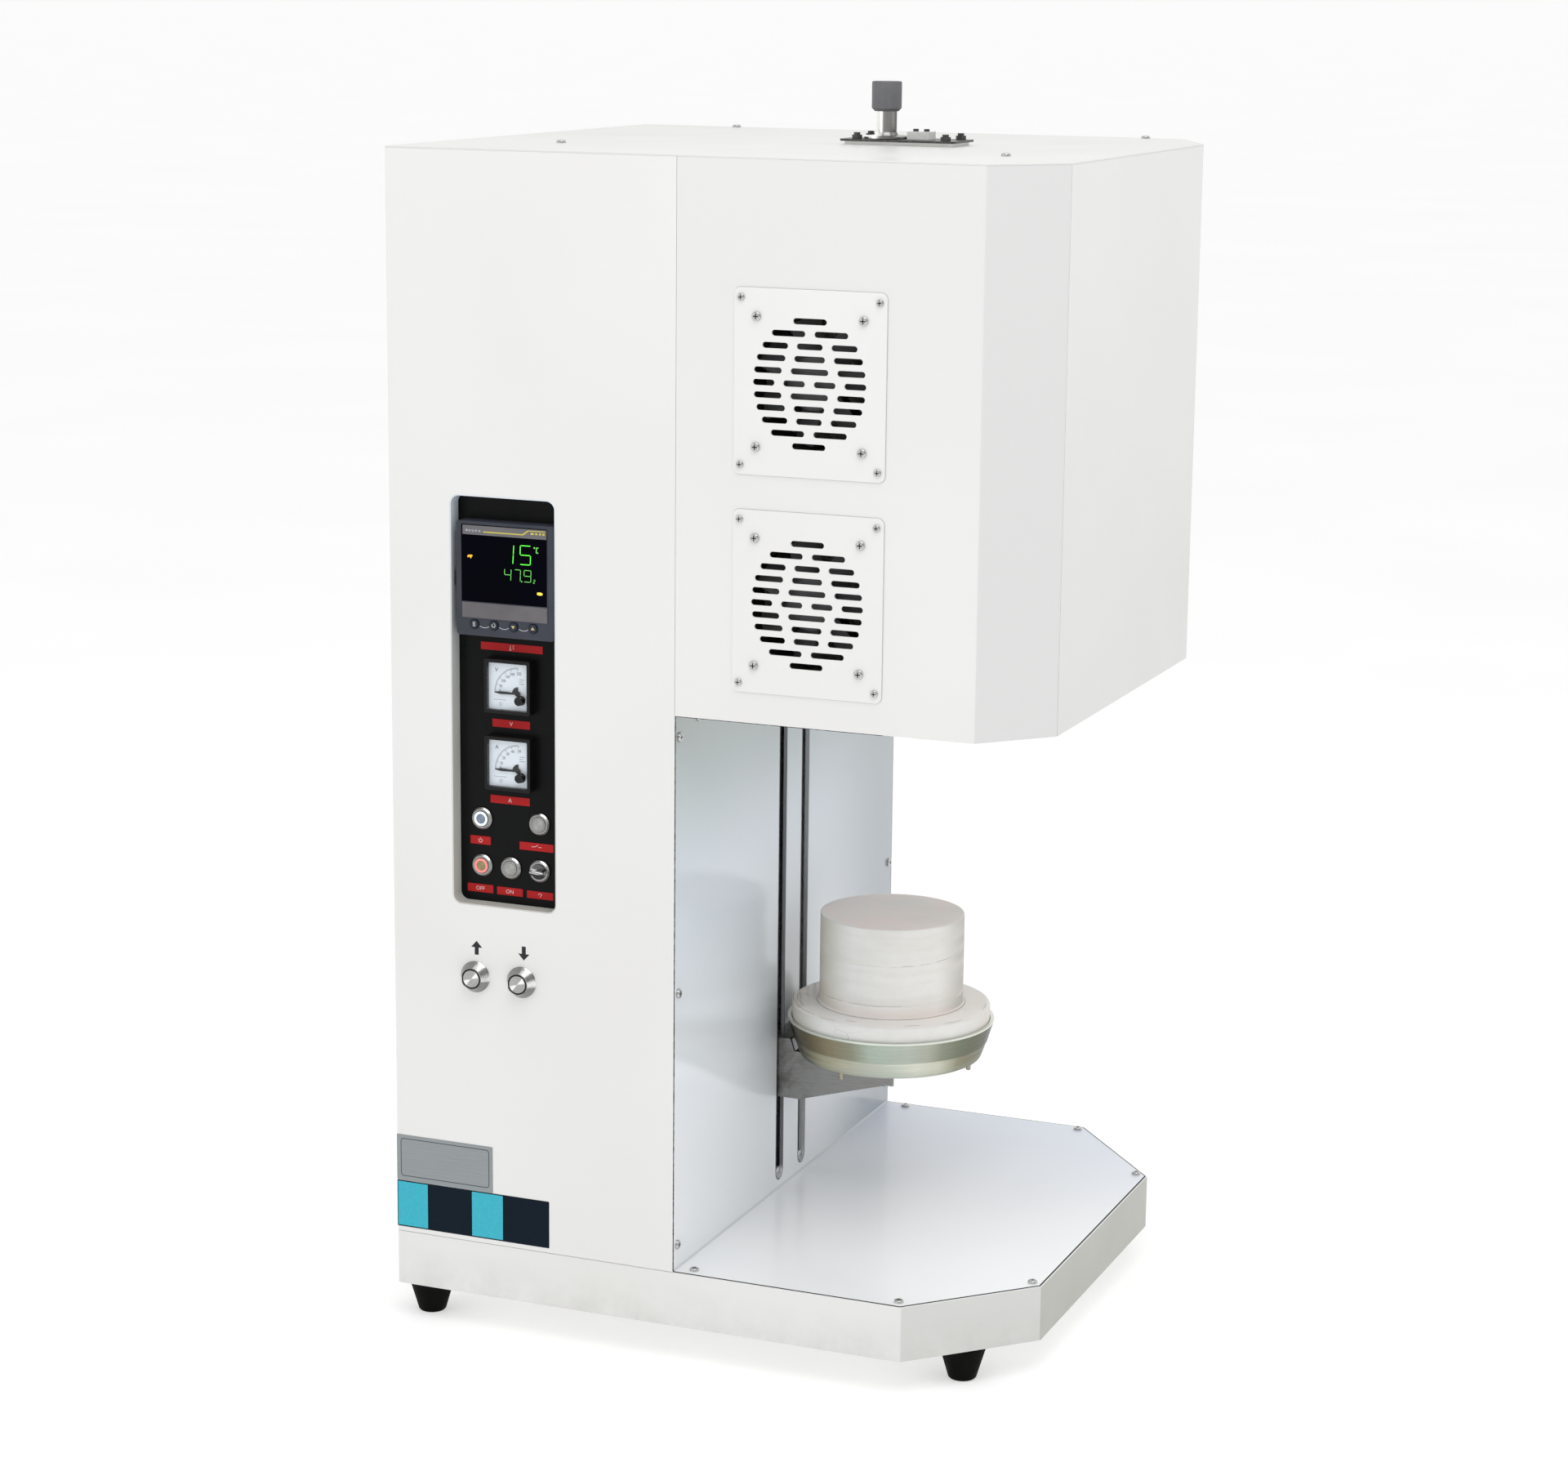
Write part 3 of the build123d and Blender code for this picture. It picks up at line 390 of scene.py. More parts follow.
def bracket_mat():
    """Plain steel sheet: grey, mottled and darker towards the column."""
    m = Mat("bracket_steel", (0.34, 0.34, 0.33), 0.42, metal=0.9)
    x, y, z = m.xyz()
    g = m.noise(1.0, 3.0, 0.6, vec=m.coords(scale=(40, 60, 900)))
    col = m.mix(m.map(g, 0.3, 0.7), (0.26, 0.26, 0.25), (0.36, 0.36, 0.35))
    patch = m.map(m.noise(46, 4.0, 0.65, dist=0.8), 0.42, 0.64)
    near = m.map(x, L(330, 0, 0).x, L(278, 0, 0).x)
    col = m.mix(m.math("MULTIPLY", m.math("MULTIPLY", patch, near), 0.85), col, (0.075, 0.07, 0.06))
    col = m.mix(m.map(m.noise(240, 3.0, 0.7), 0.66, 0.76, 0.0, 0.25), col, (0.10, 0.09, 0.08))
    m.color(col)
    m.rough(m.map(g, 0.25, 0.75, 0.34, 0.55))
    m.bump(g, 0.10, 0.0002)
    return m.mat


def plastic(name, base, rough=0.5, grain=1600, amount=0.12, spec=0.4, dust=0.0, coat=0.0):
    m = Mat(name, base, rough, spec=spec, coat=coat, coat_rough=0.08)
    s = m.noise(30, 3.0, 0.6)
    col = m.mix(m.map(s, 0.3, 0.7), tuple(c * 0.86 for c in base), tuple(min(1, c * 1.12) for c in base))
    if dust:
        col = m.mix(m.map(m.noise(180, 5.0, 0.7), 0.56, 0.78, 0.0, dust), col, (0.45, 0.43, 0.39))
    m.color(col)
    m.rough(m.map(m.noise(70, 4.0, 0.6), 0.3, 0.7, rough * 0.85, min(1.0, rough * 1.2)))
    m.bump(m.noise(grain, 2.0, 0.5), amount, 0.0002)
    return m.mat


def dish_metal():
    """Anodised spun dish: dark olive flared band over a pale band, with painted reflection and shade running round it.
    """
    m = Mat("dish_metal", (0.4, 0.4, 0.33), 0.30, metal=0.85)
    x, y, z = m.xyz()
    c = L(CX, CY, 0)
    ang = m.math("ARCTAN2", m.math("SUBTRACT", y, c.y), m.math("SUBTRACT", x, c.x))
    a01 = m.map(ang, -math.pi, math.pi)
    # painted reflection and shade round the flared band, bright towards the front and dark at the sides: 0 = -X, .25 =
    # -Y (front), .5 = +X
    up = m.ramp(a01, [(0.0, (0.04, 0.032, 0.016)), (0.08, (0.06, 0.05, 0.022)), (0.125, (0.09, 0.068, 0.03)), (0.16, (0.19, 0.145, 0.08)),
                      (0.20, (0.36, 0.30, 0.18)), (0.245, (0.38, 0.38, 0.28)), (0.275, (0.50, 0.59, 0.50)), (0.335, (0.55, 0.59, 0.52)), (0.365, (0.50, 0.52, 0.43)),
                      (0.39, (0.30, 0.325, 0.25)), (0.42, (0.20, 0.225, 0.16)), (0.47, (0.115, 0.12, 0.07)), (0.50, (0.045, 0.045, 0.025)), (0.54, (0.06, 0.06, 0.035)),
                      (0.65, (0.20, 0.20, 0.14)), (0.80, (0.16, 0.15, 0.10)), (1.0, (0.04, 0.032, 0.016))])
    # the pale band: the same painted reflection and shade round it
    lo = m.ramp(a01, [(0.0, (0.15, 0.12, 0.06)), (0.14, (0.21, 0.165, 0.09)), (0.18, (0.52, 0.46, 0.29)), (0.225, (0.69, 0.65, 0.48)),
                      (0.265, (0.66, 0.68, 0.58)), (0.31, (0.70, 0.75, 0.65)), (0.35, (0.86, 0.87, 0.74)), (0.39, (0.73, 0.725, 0.59)), (0.43, (0.33, 0.31, 0.21)),
                      (0.475, (0.20, 0.19, 0.115)), (0.51, (0.07, 0.07, 0.035)), (0.75, (0.30, 0.28, 0.20)), (1.0, (0.15, 0.12, 0.06))])
    ringed = m.noise(1.0, 2.0, 0.5, vec=m.coords(scale=(3, 3, 260)))
    lo = m.mix(m.map(ringed, 0.44, 0.56, 0.0, 0.30), lo, (0.50, 0.57, 0.50))
    zb = (211.0 + OZ) / 1000
    band = m.map(z, zb - 0.0004, zb + 0.0004)
    col = m.mix(band, lo, up)
    streak = m.noise(1.0, 3.0, 0.6, vec=m.coords(scale=(14, 14, 1400)))
    col = m.mix(m.map(streak, 0.3, 0.7, 0.0, 0.22), col, (0.10, 0.095, 0.07))
    rim = m.map(z, (230.0 + OZ) / 1000, (230.6 + OZ) / 1000)
    col = m.mix(rim, col, (0.74, 0.77, 0.70))
    m.color(col)
    m.rough(m.map(streak, 0.3, 0.7, 0.26, 0.40))
    m.bump(streak, 0.10, 0.0003)
    return m.mat


def ceramic(name, base, stain, base_z, top_z, low=0.0, top=0.0, edge=0.0, layers=0.0, seams=(), shade=(), side=None):
    """Fibre board: chalky, mottled, with a stain low on the side and on the top face, and painted shade on its upright
    faces by their bearing round the centre.
    """
    m = Mat(name, base, 0.9, spec=0.25, sheen=0.15)
    x, y, z = m.xyz()
    mott = m.noise(38, 5.0, 0.65, dist=0.4)
    col = m.mix(m.map(mott, 0.35, 0.68), tuple(c * 0.955 for c in base), base)
    fine = m.noise(420, 4.0, 0.7)
    col = m.mix(m.map(fine, 0.55, 0.75, 0.0, 0.18), col, tuple(c * 0.88 for c in base))
    if low:
        h = m.map(z, (base_z + OZ) / 1000, (base_z + OZ + low) / 1000, 1.0, 0.0, smooth=True)
        wav = m.map(m.noise(24, 3.0, 0.55, dist=0.8), 0.25, 0.65, 0.35, 1.0)
        col = m.mix(m.math("MULTIPLY", h, wav, clamp=True), col, stain)
    if top:
        # the flat face is dusted with the stain
        n = m.node("ShaderNodeNewGeometry")
        s = m.node("ShaderNodeSeparateXYZ")
        m.put(s.inputs[0], n.outputs["Normal"])
        up = m.map(s.outputs[2], 0.6, 0.95, 0.0, top)
        patch = m.map(m.noise(16, 4.0, 0.6, dist=1.0), 0.30, 0.62, 0.25, 1.0)
        col = m.mix(m.math("MULTIPLY", up, patch, clamp=True), col, stain)
    cc = L(CX, CY, 0)
    round_ = m.math("ARCTAN2", m.math("SUBTRACT", y, cc.y), m.math("SUBTRACT", x, cc.x))
    # painted shade on the upright faces at the given bearings round the centre
    if shade:
        gn = m.node("ShaderNodeNewGeometry")
        gs = m.node("ShaderNodeSeparateXYZ")
        m.put(gs.inputs[0], gn.outputs["Normal"])
        upright = m.map(gs.outputs[2], 0.35, 0.75, 1.0, 0.0)
    for at, half, amp, shade_tint in shade:
        col = m.mix(m.math("MULTIPLY", peak(m, round_, at, half, amp), upright), col, shade_tint)
    if layers:
        band = m.noise(1.0, 3.0, 0.55, vec=m.coords(scale=(9, 9, 95)))
        col = m.mix(m.map(band, 0.40, 0.70, 0.0, layers), col, tuple(c * k for c, k in zip(base, (0.84, 0.825, 0.79))))
    for zs, tilt, at, half, seed in seams:
        c0 = L(CX, CY, zs)
        ang = m.math("ARCTAN2", m.math("SUBTRACT", y, c0.y), m.math("SUBTRACT", x, c0.x))
        wav = m.math("MULTIPLY", m.math("SUBTRACT", m.noise(30, 3.0, 0.6, vec=m.coords(loc=(seed, 0, 0))), 0.5), 0.0022)
        zc = m.math("ADD", m.math("MULTIPLY", m.math("SINE", m.math("SUBTRACT", ang, math.radians(at))), tilt), c0.z)
        d = m.math("ABSOLUTE", m.math("SUBTRACT", m.math("SUBTRACT", z, zc), wav))
        line = m.math("MULTIPLY", m.map(d, 0.0, 0.00055, 1.0, 0.0), peak(m, ang, at, half, 1.0))
        line = m.math("MULTIPLY", line, m.map(m.noise(60, 3.0, 0.6, vec=m.coords(loc=(0, seed, 0))), 0.36, 0.58))
        col = m.mix(m.math("MULTIPLY", line, 0.75), col, (0.30, 0.27, 0.24))
    # hairline cracks and specks
    crack = m.voronoi(34, "DISTANCE_TO_EDGE", vec=m.coords(scale=(1, 1, 3.2), loc=(0.3, 0.1, 0.2)))
    ck = m.math("MULTIPLY", m.map(crack, 0.0, 0.012, 1.0, 0.0), m.map(m.noise(13, 2.0, 0.5), 0.56, 0.68), clamp=True)
    col = m.mix(m.math("MULTIPLY", ck, edge), col, (0.40, 0.35, 0.30))
    speck = m.map(m.voronoi(90, "F1"), 0.05, 0.075, 1.0, 0.0)
    sp = m.math("MULTIPLY", speck, m.map(m.noise(31, 2.0, 0.5), 0.64, 0.70), clamp=True)
    col = m.mix(m.math("MULTIPLY", sp, 0.6), col, (0.33, 0.25, 0.19))
    m.color(col)
    m.rough(m.map(fine, 0.3, 0.7, 0.82, 0.98))
    m.bump(m.noise(700, 4.0, 0.7), 0.30, 0.0005)
    m.bump(mott, 0.30, 0.0015)
    return m.mat


def glass_clear():
    m = Mat("meter_window_clear", (0.93, 0.96, 1.0), 0.04, spec=0.25, alpha=0.025)
    m.rough(m.map(m.noise(60, 3.0, 0.6), 0.3, 0.7, 0.03, 0.08))
    m.bump(m.noise(35, 2.0, 0.5), 0.02, 0.0005)
    return m.mat


def lit(name, color, strength, base=None):
    m = Mat(name, base or color, 0.35)
    m.color(m.mix(m.map(m.noise(600, 3.0, 0.6), 0.3, 0.7), tuple(c * 0.85 for c in (base or color)), base or color))
    m.glow(color, strength)
    m.bump(m.noise(1500, 2.0, 0.5), 0.05, 0.0001)
    return m.mat


def print_ink(name, color, rough=0.4, coat=0.0, spec=0.3):
    m = Mat(name, color, rough, coat=coat, spec=spec)
    g = m.noise(900, 3.0, 0.65)
    m.color(m.mix(m.map(g, 0.3, 0.7), tuple(c * 0.86 for c in color), tuple(min(1, c * 1.08) for c in color)))
    m.rough(m.map(m.noise(120, 3.0, 0.6), 0.3, 0.7, rough * 0.8, rough * 1.2))
    m.bump(g, 0.06, 0.0001)
    return m.mat


mat_fascia = black_panel()
mat_screw = steel("screw_steel", (0.64, 0.64, 0.635), 0.16, grain=(900, 900, 900), amount=0.05, spots=0.8)
mat_bezel = bezel_metal()
mat_bracket = bracket_mat()
mat_rod = steel("rod_steel", (0.56, 0.57, 0.58), 0.16, grain=(500, 500, 60), amount=0.03)
mat_screwshaft = steel("lead_screw_steel", (0.42, 0.42, 0.42), 0.30, grain=(40, 40, 1400), amount=0.3)
mat_cast = plastic("cast_paint", (0.10, 0.11, 0.12), 0.55, grain=500, amount=0.25, dust=0.12)
mat_alu = steel("milled_aluminium", (0.66, 0.66, 0.66), 0.33, grain=(200, 200, 1600), amount=0.08)
mat_bronze = steel("nut_bronze", (0.30, 0.27, 0.21), 0.38, grain=(800, 800, 800), amount=0.05, stain=0.3)
mat_dish = dish_metal()
mat_black = plastic("black_plastic", (0.010, 0.010, 0.011), 0.48, spec=0.25, dust=0.05)
mat_meter = plastic("meter_case_plastic", (0.006, 0.006, 0.0065), 0.30, spec=0.22)
mat_knob = plastic("knob_plastic", (0.006, 0.006, 0.0065), 0.26, spec=0.35)
mat_ctl = plastic("controller_plastic", (0.042, 0.046, 0.064), 0.38, spec=0.3, grain=1900, amount=0.10)
mat_key = plastic("key_plastic", (0.012, 0.018, 0.032), 0.25, spec=0.3, coat=0.1)
mat_cap = plastic("grey_cap_plastic", (0.155, 0.157, 0.166), 0.55, grain=700, amount=0.2, dust=0.06)
mat_rubber = plastic("foot_rubber", (0.0035, 0.0035, 0.003), 0.62, spec=0.06, grain=500, amount=0.25, dust=0.0)
mat_gland = plastic("gland_plastic", (0.02, 0.02, 0.02), 0.5)
mat_heater = plastic("heater_surface", (0.09, 0.085, 0.085), 0.6, grain=900, amount=0.3)
mat_lining = ceramic("lining_board", (0.84, 0.82, 0.78), (0.74, 0.70, 0.64), 572, 900, edge=0.4)
mat_tcplate = mount_mat()
mat_tube = tube_mat()
mat_blade = plastic("fan_blade_plastic", (0.115, 0.116, 0.12), 0.38, spec=0.3, grain=900, amount=0.08)
mat_stud = steel("stud_brass", (0.40, 0.375, 0.30), 0.26, grain=(700, 700, 700), amount=0.08, spots=0.25)
mat_nut = steel("bolt_steel", (0.30, 0.30, 0.30), 0.30, grain=(700, 700, 700), amount=0.08, spots=0.25)


def screen_mat():
    m = Mat("screen_dark", (0.0006, 0.0006, 0.0035), 0.16, spec=0.03)
    m.color(m.mix(m.map(m.noise(18, 2.0, 0.5), 0.3, 0.7), (0.0002, 0.0002, 0.0022), (0.0006, 0.0006, 0.0046)))
    m.rough(m.map(m.noise(50, 3.0, 0.6), 0.3, 0.7, 0.10, 0.2))
    m.bump(m.noise(2500, 1.0, 0.5), 0.02, 0.0001)
    return m.mat


def dial_card():
    m = Mat("dial_card", (0.80, 0.88, 0.95), 0.55)
    m.color(m.mix(m.map(m.noise(60, 3.0, 0.6), 0.3, 0.7), (0.76, 0.84, 0.91), (0.83, 0.90, 0.96)))
    m.bump(m.noise(1800, 2.0, 0.5), 0.05, 0.0001)
    m.rough(m.map(m.noise(90, 3.0, 0.6), 0.3, 0.7, 0.45, 0.62))
    return m.mat


mat_screen = screen_mat()
mat_dial = dial_card()
mat_needle = plastic("needle_paint", (0.004, 0.004, 0.005), 0.4, spec=0.15)

assign = {
    "base_tray": mat_base, "base_top_plate": mat_plate, "rubber_feet": mat_rubber, "foot_bolts": mat_nut,
    "column_front_panel": mat_cabinet, "column_side_panel": mat_cabinet, "rear_panel": mat_cabinet, "inner_wall_panel": mat_bay,
    "head_front_panel": mat_headfront, "head_side_panel": mat_headside, "head_bottom_plate": mat_under, "top_cover": mat_top,
    "panel_screws": mat_screw, "fan_plates": mat_grille, "fan_screws": mat_screw, "fan_frames": mat_black,
    "control_recess_tray": mat_recess, "control_fascia": mat_fascia, "controller_housing": mat_ctl, "controller_display": mat_screen,
    "meter_housings": mat_meter, "meter_dials": mat_dial, "button_bezels": mat_bezel, "thermocouple_mount": mat_tcplate,
    "thermocouple_probe": mat_tube, "thermocouple_head": mat_cap, "chamber_insulation": mat_lining, "heating_elements": mat_heater,
    "guide_rods": mat_rod, "lift_end_blocks": mat_alu, "screw_bearings": mat_rod, "lift_motor": mat_cast, "power_transformer": mat_cast,
    "cable_gland": mat_gland, "lift_carriage": mat_alu, "linear_bushes": mat_rod, "lead_nut": mat_bronze, "lift_bracket": mat_bracket,
    "platform_dish": mat_dish, "platform_studs": mat_stud, "lead_screw": mat_screwshaft,
    "fan_rotor_upper": mat_blade, "fan_rotor_lower": mat_blade, "meter_needle_upper": mat_needle, "meter_needle_lower": mat_needle,
    "zero_knob_upper": mat_knob, "zero_knob_lower": mat_knob, "insulation_board": mat_lining, "hearth": mat_lining,
}
for i in range(4):
    assign[f"controller_key_{i + 1}"] = mat_key
CAP_BASE = {"power": (0.22, 0.26, 0.33), "open": (0.34, 0.34, 0.33), "stop": (0.30, 0.24, 0.14), "start": (0.34, 0.34, 0.33)}
for n in ("power", "open", "stop", "start"):
    assign[f"{n}_button_cap"] = turned(f"{n}_cap_turned", *SW[n], base=CAP_BASE[n], highlight_lobes=((45, 50, 0.25), (225, 50, 0.2)))
assign["selector_knob"] = selector_metal()
for n in ("up", "down"):
    assign[f"platform_{n}_cap"] = turned(f"platform_{n}_turned", *PLAT[n], base=(0.40, 0.40, 0.395), rough=0.30, highlight_lobes=((32, 26, 0.9), (214, 26, 0.8)), low=0.75, high=2.3)

for n, o in nodes.items():
    o.data.materials.clear()
    o.data.materials.append(assign[n])


# ---------------------------------------------------------------------------
# mesh helpers: everything is drawn in the working frame in mm
# ---------------------------------------------------------------------------
def make(name, bm, mat, body, smooth=False, slot=None, bevel=0.0, segments=2, angle=35):
    me = bpy.data.meshes.new(name)
    bm.normal_update()
    bm.to_mesh(me)
    bm.free()
    o = bpy.data.objects.new(name, me)
    bpy.context.scene.collection.objects.link(o)
    me.materials.append(mat)
    if smooth:
        me.polygons.foreach_set("use_smooth", [True] * len(me.polygons))
    if bevel:
        b = o.modifiers.new("edges", "BEVEL")
        b.width = bevel / 1000
        b.segments = segments
        b.limit_method = "ANGLE"
        b.angle_limit = math.radians(angle)
    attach(o, body)
    return o


def poly_prism(bm, pts, y0, y1):
    """Prism of an XZ polygon between y0 (front) and y1 (back)."""
    a = [bm.verts.new(L(x, y0, z)) for x, z in pts]
    b = [bm.verts.new(L(x, y1, z)) for x, z in pts]
    n = len(pts)
    area = sum(pts[i][0] * pts[(i + 1) % n][1] - pts[(i + 1) % n][0] * pts[i][1] for i in range(n))
    front = bm.faces.new(a if area > 0 else a[::-1])
    back = bm.faces.new(b[::-1] if area > 0 else b)
    for i in range(n):
        j = (i + 1) % n
        q = (a[i], b[i], b[j], a[j])
        bm.faces.new(q if area > 0 else q[::-1])
    return front, back


def rrect(x0, x1, z0, z1, r, k=5):
    pts = []
    for cx, cz, a0 in ((x1 - r, z1 - r, 0), (x0 + r, z1 - r, 90), (x0 + r, z0 + r, 180), (x1 - r, z0 + r, 270)):
        for i in range(k + 1):
            a = math.radians(a0 + 90 * i / k)
            pts.append((cx + r * math.cos(a), cz + r * math.sin(a)))
    return pts


def circle(cx, cz, r, n=32, a0=0.0):
    return [(cx + r * math.cos(a0 + 2 * math.pi * i / n), cz + r * math.sin(a0 + 2 * math.pi * i / n)) for i in range(n)]


def plate(name, pts, y0, y1, mat, body, **kw):
    bm = bmesh.new()
    poly_prism(bm, pts, y0, y1)
    return make(name, bm, mat, body, **kw)


def frame_ring(bm, outer, inner, y0, y1):
    """Closed ring between two loops with the same point count."""
    n = len(outer)
    loops = [[bm.verts.new(L(x, y, z)) for x, z in pts] for pts, y in ((outer, y0), (inner, y0), (inner, y1), (outer, y1))]
    for k in range(4):
        p, q = loops[k], loops[(k + 1) % 4]
        for i in range(n):
            j = (i + 1) % n
            bm.faces.new((p[i], p[j], q[j], q[i]))
    bmesh.ops.recalc_face_normals(bm, faces=bm.faces[:])


def ring_obj(name, cx, cz, r0, r1, y0, y1, mat, body, n=48, bevel=0.15, **kw):
    bm = bmesh.new()
    frame_ring(bm, circle(cx, cz, r1, n), circle(cx, cz, r0, n), y0, y1)
    return make(name, bm, mat, body, smooth=True, bevel=bevel, **kw)


def strokes(name, lines, width, y0, y1, mat, body, **kw):
    """Thin raised strokes: each line is a list of (x, z) points, its ends square."""
    bm = bmesh.new()
    for line in lines:
        w = width / 2
        left, right = [], []
        for i, (x, z) in enumerate(line):
            xa, za = line[max(0, i - 1)]
            xb, zb = line[min(len(line) - 1, i + 1)]
            dx, dz = xb - xa, zb - za
            d = math.hypot(dx, dz) or 1
            nx, nz = -dz / d * w, dx / d * w
            left.append((x + nx, z + nz))
            right.append((x - nx, z - nz))
        poly_prism(bm, right + left[::-1], y0, y1)
    return make(name, bm, mat, body, **kw)


def lettering(name, items, mat, body, y0, y1, **kw):
    """items: (text, x centre, z centre, cap height mm, squeeze)."""
    bm = bmesh.new()
    for text, x, z, h, squeeze in items:
        cu = bpy.data.curves.new(name + "_c", "FONT")
        cu.body = text
        cu.align_x, cu.align_y = "CENTER", "CENTER"
        cu.size = 1.0
        cu.resolution_u = 3
        tmp = bpy.data.objects.new(name + "_t", cu)
        bpy.context.scene.collection.objects.link(tmp)
        bpy.context.view_layer.update()
        me = bpy.data.meshes.new_from_object(tmp.evaluated_get(bpy.context.evaluated_depsgraph_get()))
        co = [v.co.copy() for v in me.vertices]
        if co:
            zc = (min(c.y for c in co) + max(c.y for c in co)) / 2
            zh = max(c.y for c in co) - min(c.y for c in co)
            s = h / zh
            t = bmesh.new()
            t.from_mesh(me)
            bmesh.ops.dissolve_limit(t, angle_limit=0.001, verts=t.verts[:], edges=t.edges[:])
            for v in t.verts:
                v.co = L(x + v.co.x * s * squeeze, y1, z + (v.co.y - zc) * s)
            faces = t.faces[:]
            if faces and faces[0].normal.length >= 0:
                t.normal_update()
            ext = bmesh.ops.extrude_face_region(t, geom=faces)
            for g in ext["geom"]:
                if isinstance(g, bmesh.types.BMVert):
                    g.co.y = L(0, y0, 0).y
            bmesh.ops.recalc_face_normals(t, faces=t.faces[:])
            tm = bpy.data.meshes.new("t")
            t.to_mesh(tm)
            t.free()
            bm.from_mesh(tm)
            bpy.data.meshes.remove(tm)
        bpy.data.objects.remove(tmp)
        bpy.data.curves.remove(cu)
        bpy.data.meshes.remove(me)
    return make(name, bm, mat, body, **kw)


# ---------------------------------------------------------------------------
# controller face
# ---------------------------------------------------------------------------
mat_green = lit("digits_green", (0.10, 1.0, 0.05), 0.9, (0.05, 0.5, 0.02))
mat_green_dim = lit("digits_green_small", (0.20, 0.85, 0.16), 0.5, (0.08, 0.4, 0.04))
mat_yellow = lit("mark_yellow", (1.0, 0.72, 0.05), 0.85, (0.55, 0.42, 0.03))
mat_rule = lit("status_rule_yellow", (0.80, 0.66, 0.08), 0.34, (0.42, 0.36, 0.05))
mat_orange = lit("mark_orange", (1.0, 0.45, 0.03), 0.9, (0.6, 0.3, 0.02))
mat_pale_mark = print_ink("mark_pale", (0.42, 0.42, 0.44), 0.5)
mat_band = plastic("controller_band", (0.135, 0.128, 0.135), 0.42, grain=1700, amount=0.08)
mat_topband = plastic("controller_topband", (0.15, 0.145, 0.15), 0.40)
mat_keymark = print_ink("key_marks", (0.62, 0.66, 0.66), 0.45)
mat_keymark_y = print_ink("key_marks_amber", (0.62, 0.50, 0.22), 0.45)

SY = -0.5          # face of the screen
plate("controller_top_band", rrect(75.2, 158.4, 718.6, 727.0, 0.5), SY - 0.12, SY + 0.05, mat_topband, "cabinet", slot="controller_plastic")
plate("controller_low_band", rrect(74.4, 159.2, 643.2, 657.2, 0.5), -1.18, -0.9, mat_band, "cabinet", slot="controller_plastic", bevel=0.1)


def seven(digit, x, z, w, h, t, lean=0.10):
    """Lit segments of one digit, lower left corner at (x, z)."""
    on = {"0": "abcdef", "1": "bc", "2": "abged", "3": "abgcd", "4": "fgbc", "5": "afgcd", "6": "afgedc", "7": "abc", "8": "abcdefg", "9": "abfgcd"}[digit]
    g = t * 0.16
    hh = h / 2
    seg = {
        "a": ((0, h), (w, h)), "d": ((0, 0), (w, 0)), "g": ((0, hh), (w, hh)),
        "f": ((0, hh), (0, h)), "b": ((w, hh), (w, h)), "e": ((0, 0), (0, hh)), "c": ((w, 0), (w, hh)),
    }
    out = []
    for s in on:
        (xa, za), (xb, zb) = seg[s]
        L_ = math.hypot(xb - xa, zb - za)
        ux, uz = (xb - xa) / L_, (zb - za) / L_
        xa, za, xb, zb = xa + ux * (g + t * 0.1), za + uz * (g + t * 0.1), xb - ux * (g + t * 0.1), zb - uz * (g + t * 0.1)
        nx, nz = -uz * t / 2, ux * t / 2
        k = t / 2
        pts = [(xa, za), (xa + ux * k + nx, za + uz * k + nz), (xb - ux * k + nx, zb - uz * k + nz), (xb, zb),
               (xb - ux * k - nx, zb - uz * k - nz), (xa + ux * k - nx, za + uz * k - nz)]
        out.append([(x + px + pz * lean, z + pz) for px, pz in pts])
    return out


def digits(name, spec, mat, body="cabinet"):
    bm = bmesh.new()
    for pts in spec:
        poly_prism(bm, pts, SY - 0.10, SY + 0.05)
    return make(name, bm, mat, body, slot="screen")


big = seven("1", 116.2, 694.6, 9.0, 17.2, 0.8, 0.06) + seven("5", 132.2, 694.9, 10.3, 17.0, 0.85, 0.03)
digits("display_digits_large", big, mat_green)
small = (seven("4", 116.6, 679.4, 6.4, 10.4, 0.6, 0.05) + seven("7", 126.6, 679.4, 5.8, 10.4, 0.6, 0.04) + seven("9", 136.1, 679.4, 6.8, 10.4, 0.6, 0.03)
         + [circle(133.9, 679.5, 0.65, 10)] + seven("2", 145.4, 678.6, 1.7, 3.2, 0.45, 0.03))
digits("display_digits_small", small, mat_green_dim)
deg = [circle(146.6, 710.6, 0.85, 10), ]
deg += [[(150.6, 711.2), (148.6, 711.2), (148.2, 710.6), (148.0, 706.4), (148.4, 705.8), (150.4, 705.8), (150.4, 706.7), (148.9, 706.7), (149.2, 710.3), (150.6, 710.3)]]
digits("display_degree_mark", deg, mat_green_dim)
digits("display_mark_left", [[(79.8, 698.6), (80.6, 700.0), (84.6, 700.3), (85.2, 699.0), (84.0, 698.9), (83.8, 697.2), (82.6, 697.2), (82.4, 698.5), (81.0, 698.4), (80.6, 697.4)]], mat_orange)
digits("display_mark_right", [[(149.0, 668.6), (149.2, 670.6), (152.4, 671.0), (154.6, 670.0), (154.4, 668.6), (152.0, 668.0)]], mat_yellow)

